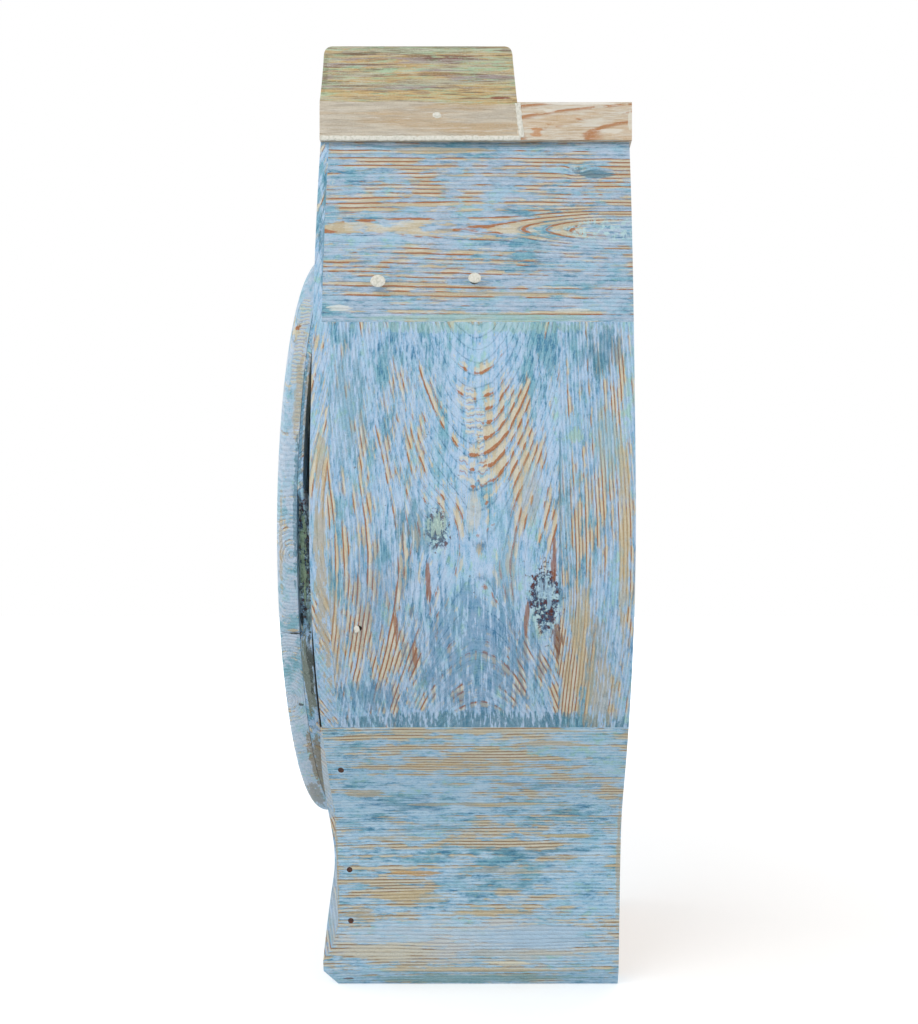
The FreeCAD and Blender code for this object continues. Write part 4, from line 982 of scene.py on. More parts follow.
@dataclass
class FillerWork:
    """The white filler in the joints and over the sunk nails.

    Each blob has its place and its width and height. Each line has its face, the y and z of both its ends, its
    width, its thickness, how many cuts it has along it and what makes it differ from the other.
    """

    blobs: tuple[tuple[float, float, float, float, float], ...] = (
        (0.2087, -0.0452, 0.4538, 0.0092, 0.0074),
        (0.2083, 0.0115, 0.4557, 0.0080, 0.0060),
        (0.2090, -0.0576, 0.2497, 0.0036, 0.0040),
        (0.1838, -0.0123, 0.5601, 0.0062, 0.0040),
    )
    blob_depth: float = 0.0012
    blob_uneven: float = 0.00050
    bead_uneven: float = 0.00065
    bead_bevel: float = 0.0003
    lines: tuple[tuple, ...] = (
        (0.1837, (-0.0832, 0.5462), (0.0385, 0.5462), 0.0030, 0.0013, 60, 3),
        (0.1838, (0.0392, 0.5465), (0.0366, 0.5676), 0.0034, 0.0015, 20, 11),
    )

    def build(self) -> None:
        """Makes the filler and hides the plain plugs that it stands for."""
        white = Filler().mix("filler_white")
        plugs = as_one([
            self.blob(side * x, *sizes, seed)
            for side, first in ((1, 0), (-1, 7))
            for seed, (x, *sizes) in enumerate(self.blobs, first)
        ])
        hand_over(plugs, "filler_blobs", "case", white)
        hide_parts("filler_plugs")
        for side, name in BOTH_SIDES:
            beads = [self.bead(side * face, *line, seed + side) for face, *line, seed in self.lines]
            hand_over(as_one(beads), f"filler_joints_{name}", "case", white)

    def blob(self, x: float, y: float, z: float, wide: float, high: float, seed: int) -> bpy.types.Object:
        """One uneven blob pressed onto a board.

        Args:
            x: the board's face.
            y: the blob's middle.
            z: the blob's height.
            wide: its width along the board.
            high: its height.
            seed: what makes it differ from the others.

        Returns:
            The blob.
        """
        bpy.ops.mesh.primitive_uv_sphere_add(segments=28, ring_count=14, radius=0.5, location=(x, y, z))
        piece = bpy.context.object
        piece.scale = (self.blob_depth, wide, high)
        bpy.ops.object.transform_apply(location=False, rotation=False, scale=True)
        with editing(piece):
            bpy.ops.mesh.select_all(action="SELECT")
            bpy.ops.transform.vertex_random(offset=self.blob_uneven, uniform=0.2, seed=seed)
            bpy.ops.mesh.vertices_smooth(factor=0.5, repeat=3)
        bpy.ops.object.shade_smooth()
        return settle(piece)

    def bead(self, x: float, first: tuple[float, float], last: tuple[float, float], wide: float, proud: float,
             cuts: int, seed: int) -> bpy.types.Object:
        """A ragged line of filler on a board's face.

        Args:
            x: the board's face.
            first: the y and z where it starts.
            last: the y and z where it ends.
            wide: its width.
            proud: its thickness, of which half stands out of the face.
            cuts: how many cuts it has along it.
            seed: what makes it differ from the others.

        Returns:
            The line.
        """
        start, end = Vector((x, *first)), Vector((x, *last))
        along = end - start
        direction = along.normalized()
        bpy.ops.mesh.primitive_cube_add(size=1.0, location=(start + end) / 2)
        piece = bpy.context.object
        piece.scale = (proud, along.length, wide)
        piece.rotation_euler = (math.atan2(along.z, along.y), 0.0, 0.0)
        bpy.ops.object.transform_apply(location=False, rotation=True, scale=True)
        with editing(piece) as mesh:
            for edge in mesh.edges:
                run = (edge.verts[0].co - edge.verts[1].co).normalized()
                edge.select = abs(run.dot(direction)) > 0.9
            bmesh.update_edit_mesh(piece.data)
            bpy.ops.mesh.subdivide(number_cuts=cuts)
            bpy.ops.mesh.select_all(action="SELECT")
            bpy.ops.mesh.subdivide(number_cuts=1)
            bpy.ops.transform.vertex_random(offset=self.bead_uneven, uniform=0.2, seed=seed)
            bpy.ops.mesh.vertices_smooth(factor=0.5, repeat=1)
        tool("BEVEL", piece, width=self.bead_bevel, segments=1)
        bpy.ops.object.shade_smooth()
        return settle(piece)


@dataclass(frozen=True)
class Damage:
    """A stretch of a ring's rim that wood is missing from, in degrees anticlockwise and in metres.

    width is how deep into the ring it reaches and fade over what width it sets in. From behind, it leaves the
    front face whole.
    """

    name: str
    low: float
    high: float
    fade_low: float
    fade_high: float
    width: float
    fade: float
    from_behind: bool = False


@dataclass
class BrokenRing:
    """The rear layer of the door's opening side, broken away and black with dirt and crumbled paint.

    The gap thins its upper rim from behind, which opens a dark gap towards the case, darkened further by painted
    shade in its finish. splinters names each size of crack in its broken rim with a scale and a depth.
    """

    inner: float = 0.1682
    outer: float = 0.2049
    front_y: float = -0.0935
    back_y: float = -0.0861
    start_deg: float = 283.1
    end_deg: float = 402.9
    gap: Damage = Damage("gap", 5.5, 42.9, 2.0, 6.0, 0.030, 0.018, True)
    gap_depth: float = 0.0042
    broken: Damage = Damage("broken", -18.5, 6.5, 2.2, 2.2, 0.016, 0.016)
    bevel: float = 0.0012
    splinters: tuple[tuple[str, float, float], ...] = (("splinters", 0.012, 0.0060), ("crumbs", 0.0030, 0.0050))

    def build(self, material: bpy.types.Material) -> None:
        """Spins the segment, breaks its rim and hides the whole one.

        Args:
            material: the segment's finish.
        """
        bpy.ops.mesh.primitive_plane_add(size=1.0)
        piece = bpy.context.object
        piece.scale = (self.outer - self.inner, self.back_y - self.front_y, 1.0)
        piece.location = ((self.outer + self.inner) / 2, (self.back_y + self.front_y) / 2, 0.0)
        settle(piece)
        span = self.end_deg - self.start_deg
        with editing(piece):
            bpy.ops.mesh.select_all(action="SELECT")
            bpy.ops.mesh.subdivide(number_cuts=6)
            bpy.ops.mesh.spin(steps=260, angle=-math.radians(span), center=(0, 0, 0), axis=(0, 1, 0))
            bpy.ops.mesh.select_all(action="SELECT")
            bpy.ops.mesh.normals_make_consistent(inside=False)
        piece.rotation_euler = (0.0, -math.radians(self.end_deg), 0.0)
        piece.location = DIAL_CENTRE
        settle(piece)
        self.weigh(piece, self.gap)
        tool("DISPLACE", piece, direction="Y", mid_level=0.0, strength=-self.gap_depth, vertex_group=self.gap.name)
        self.weigh(piece, self.broken)
        for name, scale, depth in self.splinters:
            texture = bpy.data.textures.new(name, "CLOUDS")
            texture.noise_scale = scale
            texture.noise_depth = 2
            tool("DISPLACE", piece, texture=texture, texture_coords="GLOBAL", direction="X", mid_level=1.0,
                 strength=depth, vertex_group=self.broken.name)
        tool("BEVEL", piece, width=self.bevel, segments=2, limit_method="ANGLE", angle_limit=math.radians(50))
        bpy.ops.object.shade_smooth_by_angle(angle=math.radians(35))
        hand_over(piece, "ring_rear_broken", "door", material)
        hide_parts("ring_rear_3")

    def weigh(self, piece: bpy.types.Object, damage: Damage) -> None:
        """Gives the piece a vertex group of the points that a damage moves.

        Args:
            piece: the whole segment.
            damage: the damage, whose name the group gets.
        """
        group = piece.vertex_groups.new(name=damage.name)
        for vertex in piece.data.vertices:
            away = vertex.co - DIAL_CENTRE
            angle = math.degrees(math.atan2(away.z, away.x))
            past_rim = math.hypot(away.x, away.z) - self.outer
            along = min((angle - damage.low) / damage.fade_low, (damage.high - angle) / damage.fade_high)
            behind = (vertex.co.y - self.front_y) / (self.back_y - self.front_y) if damage.from_behind else 1.0
            weight = part(along) * part((past_rim + damage.width) / damage.fade) * part(behind)
            if weight > 0:
                group.add([vertex.index], weight, "REPLACE")


def part(value: float) -> float:
    """A value kept from 0 to 1."""
    return max(0.0, min(1.0, value))


@dataclass
class DialFace:
    """The dial's painted numerals and minute track, with the widths of its strokes.

    fifth is the width of every fifth minute's mark, flare how many times wider a stroke is at its ends and inset how
    far a letter's strokes keep inside its room.
    """

    face_y: float = -0.0697
    numeral_radius: float = 0.121
    numeral_height: float = 0.027
    track_inner: float = 0.1400
    track_outer: float = 0.1475
    ink: float = 0.00025
    thick: float = 0.0030
    thin: float = 0.0012
    fine: float = 0.0009
    fifth: float = 0.0026
    circle: float = 0.0008
    flare: float = 1.18
    inset: float = 0.0022
    names: tuple[str, ...] = ("XII", "I", "II", "III", "IIII", "V", "VI", "VII", "VIII", "IX", "X", "XI")

    def build(self) -> None:
        """Makes all that is painted on the dial."""
        pieces = [bar for hour in range(12) for bar in self.numeral(hour)]
        pieces += [self.ring_line(radius) for radius in (self.track_inner, self.track_outer)]
        for minute in range(60):
            wide = self.fine if minute % 5 else self.fifth
            pieces.append(self.bar((0.0, self.track_inner), (0.0, self.track_outer), wide, math.radians(minute * 6)))
        black = Metal(tint(34, 32, 32), tint(62, 54, 46), 0.45, 0.4, 0.0).mix("numeral_black")
        hand_over(as_one(pieces), "dial_numerals", "case", black)

    def bar(self, start: tuple[float, float], end: tuple[float, float], wide: float, turn: float) -> bpy.types.Object:
        """One tapered stroke of the brush.

        Args:
            start: its foot, as lengths across and up from the dial's centre before the turn.
            end: its head.
            wide: its width.
            turn: how far it is turned round the dial, clockwise, in radians.

        Returns:
            The stroke.
        """
        across, up = end[0] - start[0], end[1] - start[1]
        length = math.hypot(across, up)
        bpy.ops.mesh.primitive_cube_add(size=1.0)
        piece = bpy.context.object
        piece.scale = (wide, self.ink, length)
        settle(piece)
        with editing(piece) as mesh:
            for vertex in mesh.verts:
                vertex.select = abs(vertex.co.z) > length * 0.45
            mesh.select_flush_mode()
            bmesh.update_edit_mesh(piece.data)
            bpy.ops.transform.resize(value=(self.flare, 1.0, 1.0), center_override=(0, 0, 0))
        middle = Vector(((start[0] + end[0]) / 2, self.face_y, (start[1] + end[1]) / 2))
        lean = Matrix.Rotation(math.atan2(across, up), 4, "Y")
        placed = Matrix.Rotation(turn, 4, "Y") @ Matrix.Translation(middle) @ lean
        piece.matrix_world = Matrix.Translation(DIAL_CENTRE) @ placed
        return settle(piece)

    def numeral(self, hour: int) -> list[bpy.types.Object]:
        """The strokes of one hour's numeral, with a fine line along its foot and its head.

        Each letter has its room and its strokes, from a foot to a head at its left side (-1), middle (0) or right
        side (1).

        Args:
            hour: the hour, from 0 for twelve.

        Returns:
            Its strokes.
        """
        letters = {
            "I": (0.0055, ((0, 0, self.thick),)),
            "V": (0.0150, ((0, -1, self.thick), (0, 1, self.thin))),
            "X": (0.0140, ((1, -1, self.thick), (-1, 1, self.thin))),
        }
        turn = math.radians(hour * 30)
        low, high = self.numeral_radius - self.numeral_height / 2, self.numeral_radius + self.numeral_height / 2
        total = sum(letters[letter][0] for letter in self.names[hour])
        left, strokes = -total / 2, []
        for letter in self.names[hour]:
            room, bars = letters[letter]
            middle, reach = left + room / 2, room / 2 - self.inset
            for foot, head, wide in bars:
                strokes.append(self.bar((middle + foot * reach, low), (middle + head * reach, high), wide, turn))
            left += room
        for height in (low, high):
            strokes.append(self.bar((-total / 2, height), (total / 2, height), self.fine, turn))
        return strokes

    def ring_line(self, radius: float) -> bpy.types.Object:
        """A thin painted circle.

        Args:
            radius: its radius.

        Returns:
            The circle.
        """
        bpy.ops.mesh.primitive_circle_add(vertices=160, radius=radius, fill_type="NGON", rotation=(math.pi / 2, 0, 0))
        piece = bpy.context.object
        with editing(piece):
            bpy.ops.mesh.select_all(action="SELECT")
            bpy.ops.mesh.inset(thickness=self.circle)
            bpy.ops.mesh.delete(type="FACE")
        tool("SOLIDIFY", piece, thickness=self.ink, offset=0.0)
        piece.location = DIAL_CENTRE + Vector((0, self.face_y, 0))
        return settle(piece)


@dataclass
class Studio:
    """The floor, the lamps with their places and watts, and the camera, fitted to the picture in pixels."""

    distance: float = 0.9
    camera_y: float = 0.0369
    camera_z: float = 0.299
    focal_px: float = 1179.0
    centre_px: tuple[float, float] = (518.0, 545.0)
    frame_px: tuple[int, int] = (918, 1024)
    sensor_mm: float = 36.0
    floor_half: float = 4.0
    lamps: tuple[tuple[str, tuple[float, float, float], float], ...] = (
        ("key", (1.7, -1.1, 1.7), 21.0),
        ("fill", (1.6, 1.5, 0.9), 8.0),
        ("front", (-0.5, -2.2, 1.2), 13.0),
        ("back", (-1.8, 1.2, 1.6), 10.0),
    )
    lamp_side: float = 1.6
    lamp_aim: tuple[float, float, float] = (0.0, 0.0, 0.3)
    dim: float = 0.52

    def build(self) -> None:
        """Sets up the whole studio."""
        self.place_camera()
        self.light()
        self.lay_floor()
        bpy.context.scene.view_settings.view_transform = "Standard"

    def place_camera(self) -> None:
        """Stands the camera square to the clock's side."""
        wide, high = self.frame_px
        data = bpy.data.cameras.new("camera")
        data.sensor_width = self.sensor_mm
        data.lens = self.sensor_mm * self.focal_px / max(wide, high)
        data.shift_x = (wide / 2 - self.centre_px[0]) / max(wide, high)
        data.shift_y = (self.centre_px[1] - high / 2) / max(wide, high)
        camera = bpy.data.objects.new("camera", data)
        camera.location = (self.distance, self.camera_y, self.camera_z)
        camera.rotation_euler = (math.radians(90), 0.0, math.radians(90))
        bpy.context.scene.collection.objects.link(camera)
        bpy.context.scene.camera = camera

    def light(self) -> None:
        """Hangs the soft lamps and sets the surroundings, white to the camera and dimmer to the clock."""
        for name, place, watts in self.lamps:
            data = bpy.data.lights.new(name, "AREA")
            data.size = self.lamp_side
            data.energy = watts
            lamp = bpy.data.objects.new(name, data)
            lamp.location = place
            lamp.rotation_euler = (Vector(self.lamp_aim) - Vector(place)).to_track_quat("-Z", "Y").to_euler()
            bpy.context.scene.collection.objects.link(lamp)
        world = bpy.data.worlds.new("surroundings")
        world.use_nodes = True
        background = world.node_tree.nodes["Background"].inputs
        feed(world.node_tree, background["Color"], WHITE)
        feed(world.node_tree, background["Strength"], seen_rays(world.node_tree) * (1.0 - self.dim) + self.dim)
        bpy.context.scene.world = world

    def lay_floor(self) -> None:
        """Lays a pale floor that keeps the clock's soft shadow."""
        bpy.ops.mesh.primitive_plane_add(size=2 * self.floor_half, location=(0, 0, -0.0002))
        floor = bpy.context.object
        floor.name = "floor"
        recipe = Recipe("floor_white")
        lift = recipe.place.length().step(0.35, 1.7) * 0.6 + 0.42
        glow = {"Emission Color": WHITE, "Emission Strength": seen_rays(recipe.tree) * lift}
        colour = recipe.place.noise(60.0, 3.0, 0.5).between((0.80, 0.80, 0.80), (0.82, 0.82, 0.82))
        floor.data.materials.append(recipe.finish(colour, 0.9, 0.1, others=glow))
        settle(floor)
        log.info("floor laid")


@dataclass
class CaseWood:
    """The finishes of the case's boards, with a row in millimetres for each mark that the picture shows on them."""

    upper_wears: tuple[Wear, ...] = rows(Wear, (
        (-35, 500, 60, 30, 0.15), (-30, 487, 55, 8, -0.3), (60, 490, 60, 18, 0.3), (50, 533, 60, 6, 0.4),
        (-65, 530, 30, 20, -0.25), (20, 440, 110, 6, -0.35), (95, 450, 12, 60, -0.3),
    ))
    lower_wears: tuple[Wear, ...] = rows(Wear, (
        (-45, 70, 45, 20, 0.6), (-35, 26, 60, 10, 0.9), (30, 55, 50, 10, 0.4), (15, 168, 100, 20, 0.4),
        (-60, 120, 30, 22, -0.3), (20, 105, 60, 12, 0.35), (85, 90, 20, 70, -0.4), (50, 35, 50, 10, -0.3),
    ))
    upper_touches: tuple[Touch, ...] = rows(Touch, (
        (-69.9, 488.8, 6, 8, TAN, 0.75, 1.6), (-68, 438.5, 11, 3, tint(226, 230, 226), 0.8, 1.6),
        (70, 437, 22, 1.8, tint(222, 226, 218), 0.8, 1.4), (15, 447, 95, 2.2, TAN, 0.7, 0.5),
        (15, 432.5, 110, 4, MINT, 0.55, 0.8), (85, 523, 16, 5, TEAL, 0.8), (10, 542.5, 110, 4, TEAL, 0.5, 0.8),
        (-10, 539.5, 50, 3, TAN, 0.7, 0.7),
    ))
    front_touches: tuple[Touch, ...] = rows(Touch, (
        (-77, 290, 5.8, 120, TAN, 0.7, 2.2), (-77.5, 490, 6, 60, TEAL, 0.55, 2.2),
        (-80, 150, 20, 50, tint(206, 216, 222), 0.75, 1.4), (-80, 50, 20, 60, tint(198, 210, 218), 0.6, 1.6),
    ))
    crest_touches: tuple[Touch, ...] = rows(Touch, (
        (-20, 606.5, 75, 5, tint(180, 190, 162), 0.8, 1.2), (-50, 598.5, 35, 4, OCHRE, 0.75, 1.6),
        (-45, 592.5, 45, 3, SAGE, 0.75, 1.8), (-55, 585, 40, 4, OCHRE, 0.8, 1.6),
        (10, 586.5, 35, 5, LILAC, 0.8, 1.8), (-30, 579.5, 50, 3, LILAC, 0.7, 1.8), (12, 593, 30, 3, SAGE, 0.7, 1.8),
        (-20, 573.8, 75, 3.2, tint(208, 178, 124), 0.8, 1.6), (-6, 601.5, 38, 3, tint(124, 80, 78), 0.85, 1.4),
        (-60, 604, 26, 2.6, tint(112, 96, 72), 0.7, 1.8), (-20, 589, 60, 2, tint(146, 110, 80), 0.7, 2.0),
        (25, 599, 24, 2.4, tint(196, 204, 176), 0.7, 1.8), (-20, 609, 70, 2, tint(120, 116, 90), 0.75, 2.4),
        (-82, 590, 3, 22, tint(130, 116, 88), 0.7, 2.0),
    ))
    cornice_touches: tuple[Touch, ...] = rows(Touch, (
        (72, 567.4, 40, 1.8, tint(236, 232, 222), 0.95, 0.4), (105, 556.5, 2.2, 11, tint(226, 222, 208), 0.8, 0.8),
        (95, 550, 13, 3, tint(230, 226, 214), 0.75, 1.6), (56, 562.5, 7, 2.2, tint(232, 228, 216), 0.75, 1.4),
        (48, 550, 6, 5, tint(196, 136, 84), 0.75, 1.6),
    ))
    middle_wears: tuple[Wear, ...] = rows(Wear, (
        (-80, 290, 14, 130, 0.6), (-60, 270, 22, 70, 0.35), (-30, 360, 40, 60, 0.22), (34, 360, 26, 65, 0.45),
        (6, 330, 20, 30, 0.2), (3, 270, 30, 50, -0.4), (12, 415, 90, 22, -0.5), (-45, 410, 20, 30, -0.2),
        (-35, 230, 40, 35, 0.25), (38, 220, 20, 40, 0.35), (72, 225, 24, 45, 0.6), (90, 330, 20, 80, 0.4),
        (70, 400, 14, 50, -0.3), (18, 192, 120, 10, -0.7),
    ))
    middle_touches: tuple[Touch, ...] = rows(Touch, (
        (12, 235, 60, 60, DUSK, 0.45, 2.8), (18, 189, 130, 12, TEAL, 0.7, 3.0), (18, 427, 110, 6, MINT, 0.45, 1.8),
        (86, 412, 20, 22, TEAL, 0.5, 2.4), (-9.9, 310, 7.5, 10, tint(214, 236, 216), 0.85, 3.0),
        (53, 272, 8, 14, tint(168, 206, 232), 0.75, 3.0), (70.5, 362, 6, 6, MINT, 0.7, 1.6),
        (11, 318, 7, 18, tint(206, 210, 206), 0.65, 1.8), (43, 330, 12, 30, TAN, 0.35, 2.4),
        (-75, 250, 14, 50, TAN, 0.4, 2.6), (-45, 270, 30, 50, DUSK, 0.25, 2.2), (-52, 208, 30, 14, DUSK, 0.45, 2.2),
        (86, 208, 20, 30, tint(210, 196, 158), 0.4, 2.4), (90, 360, 14, 40, tint(150, 190, 196), 0.5, 2.4),
        (-62, 380, 16, 50, tint(128, 172, 190), 0.5, 2.6), (30, 290, 10, 50, tint(124, 172, 200), 0.45, 2.6),
        (73, 256, 10, 38, tint(210, 194, 154), 0.6, 2.0), (98.5, 310, 5, 100, tint(206, 190, 150), 0.6, 1.8),
        (78, 230, 20, 40, TAN, 0.4, 2.6), (-20, 310, 22, 22, TEAL, 0.45, 2.8),
        (61.2, 300, 1.2, 120, TEAL, 0.55, 1.6), (57.5, 290, 3, 20, tint(150, 92, 58), 0.8, 1.6),
        (60, 242, 5, 16, tint(120, 78, 56), 0.75, 1.8), (42, 255, 2.6, 16, tint(160, 104, 64), 0.75, 1.6),
        (-15, 278, 2.6, 18, tint(156, 98, 60), 0.8, 1.6), (-35, 250, 2.2, 16, tint(166, 108, 64), 0.75, 1.8),
        (-24, 234, 2.2, 12, tint(166, 108, 64), 0.7, 1.8),
    ))
    middle_chatters: tuple[Chatter, ...] = rows(Chatter, (
        (9, 362, 392, 2.6, 3.7), (15, 348, 380, 2.3, 3.7), (6, 336, 352, 2.6, 6.4), (16.5, 330, 350, 2.8, 6.8),
    ))
    lower_touches: tuple[Touch, ...] = rows(Touch, (
        (10, 33, 150, 26, tint(208, 222, 234), 0.6, 1.8), (15, 184.5, 110, 2.2, CREAM, 0.85, 0.5),
        (-46, 25.9, 48, 11, tint(216, 210, 188), 0.7, 1.6), (40, 23, 60, 6, CREAM, 0.45, 1.4),
        (-30, 80, 26, 3, tint(208, 168, 112), 0.85, 1.6), (-34, 64, 44, 6.5, tint(208, 190, 150), 0.7, 2.0),
        (70, 107, 34, 2.4, tint(204, 184, 132), 0.8, 1.4), (-62, 139, 18, 5, TAN, 0.7, 2.0),
        (35, 82, 50, 4, TAN, 0.45, 2.2), (-30, 130, 50, 8, DUSK, 0.34, 3.4), (60, 145, 40, 5, DUSK, 0.3, 3.4),
        (50, 95, 60, 5, TEAL, 0.34, 3.2), (-10, 112, 60, 3, TEAL, 0.36, 3.0),
        (20, 130, 70, 2.6, tint(206, 190, 150), 0.55, 3.2), (-45, 105, 40, 2.4, tint(206, 188, 146), 0.6, 3.0),
        (55, 36, 65, 13, tint(182, 212, 236), 0.7, 1.8), (-45, 40, 40, 8, tint(190, 210, 226), 0.5, 2.0),
        # painted light: the pale teal band 4.5 mm up, the second row on the next line, lightens the foot's chamfer,
        # which faces down and gets less light
        (103.5, 90, 2.6, 80, TAN, 0.65, 1.2), (10, 4.5, 120, 6, tint(146, 186, 190), 0.75, 1.4),
        (10, 12.5, 120, 2.4, tint(222, 212, 186), 0.8, 1.4), (28, 17, 34, 1.8, tint(238, 232, 208), 0.85, 1.8),
        (15, 160, 70, 2.2, tint(204, 178, 134), 0.7, 2.2), (60, 176, 40, 2.6, tint(206, 184, 144), 0.7, 2.2),
        (-70, 52, 16, 6, TAN, 0.6, 2.0), (10, 52, 50, 3, tint(208, 190, 152), 0.65, 2.2),
        (-78, 4.5, 6, 1.4, tint(112, 74, 56), 0.8, 1.2), (10, 11.2, 110, 1.8, TAN, 0.8, 0.7),
        (-84.5, 90, 3.5, 80, TAN, 0.7, 0.9),
    ))
    middle_knots: tuple[Knot, ...] = rows(Knot, ((-9.9, 307.7, 8, 14, 1.6, 0.85), (52.6, 266.9, 10.5, 23, 2.0, 1.0)))
    upper_knots: tuple[Knot, ...] = rows(Knot, ((94, 487, 30, 7.5, -3.0, 0.0), (72.7, 525.6, 4, 3, 1.0, 0.4)))

    def dress(self, nodes: Nodes) -> None:
        """Gives each board of the case its finish.

        Args:
            nodes: the carried-over solids by name.
        """
        for side, name in BOTH_SIDES:
            for level, finish in self.side_finishes(side).items():
                if side < 0:
                    plain = replace(finish.board, knots=())
                    finish = replace(finish, board=plain, wears=(), touches=(), chatters=())
                paint(nodes, finish.mix(f"{level}_side_{name}_paint"), f"{level}_side_{name}")
        front = Board(0.02, -0.22, Fibre.UPRIGHT, 0.0018, 0.02, 1.4)
        crest = Board(0.05, 0.52, Fibre.DEEP, 0.0030, 0.02, 1.6)
        crest_front = Board(-0.16, 0.50, Fibre.WIDE, 0.0030, 0.02, 1.6)
        limed = Board(0.160, 0.5480, Fibre.DEEP, 0.0042, 0.10, 1.2)
        back = Board(0.02, 0.20, Fibre.UPRIGHT, 0.0044, 0.02, 1.6)
        inner = Board(-0.10, 0.12, Fibre.WIDE, 0.0040, 0.02, 1.6)
        block = Board(0.10, 0.12, Fibre.UPRIGHT, 0.0036, 0.02, 1.6)
        front_paint = PaintedPine(front, bareness=0.46, rust=0.4, shade=0.6, touches=self.front_touches)
        for name, finish, dressed in (
            ("front_paint", front_paint, ("front_board_left", "front_board_right", "neck_apron")),
            ("crest_wood", CrestPine(crest, touches=self.crest_touches), ("crest_side_left", "crest_side_right")),
            ("crest_front_wood", CrestPine(crest_front), ("crest_front", "crest_lid")),
            ("limed_wood", LimedPine(limed, self.cornice_touches), ("cornice_rear_left", "cornice_rear_right")),
            ("back_wood", BarePine(back), ("back_board_left", "back_board_right")),
            ("inner_wood", BarePine(inner), ("top_board", "seat_board", "crest_back")),
            ("block_wood", BarePine(block), ("seat_bearers", "glue_blocks")),
        ):
            paint(nodes, finish.mix(name), *dressed)

    def side_finishes(self, side: int) -> dict[str, PaintedPine]:
        """The finishes of one side's three planks, with all that the picture shows on them.

        Args:
            side: 1 for the side in the picture, -1 for the other.

        Returns:
            The finishes by the planks' level.
        """
        lower_board = Board(0.0, -0.12, Fibre.DEEP, 0.0023, 0.02 * side, 2.4, column=260.0, depth_share=0.3)
        middle_board = Board(
            side * 0.120, 0.013 if side > 0 else -0.02, Fibre.UPRIGHT, 0.0020, 0.13 * side, 0.8,
            seam=0.0612, second_heart=0.280, depth_share=0.25, knots=self.middle_knots,
        )
        upper_board = Board(side * 0.190, 0.486, Fibre.DEEP, 0.0027, 0.03 * side, 0.9, knots=self.upper_knots)
        lower_coat = Coat(pale=tint(196, 224, 244), middle=tint(136, 192, 226), rust=tint(160, 122, 82))
        upper_coat = Coat(pale=tint(188, 206, 226), middle=tint(136, 174, 200), bare=tint(204, 190, 158))
        lower = PaintedPine(lower_board, lower_coat, 0.48, 0.60, 0.35, 0.85, self.lower_wears, self.lower_touches)
        middle = PaintedPine(middle_board, Coat(), 0.42, 0.66, 0.75, 0.85, self.middle_wears, self.middle_touches,
                             self.middle_chatters)
        upper = PaintedPine(upper_board, upper_coat, 0.50, 0.60, 0.8, 0.8, self.upper_wears, self.upper_touches)
        levels = {"lower": lower, "middle": middle, "upper": upper}
        return {level: replace(finish, outward=side) for level, finish in levels.items()}


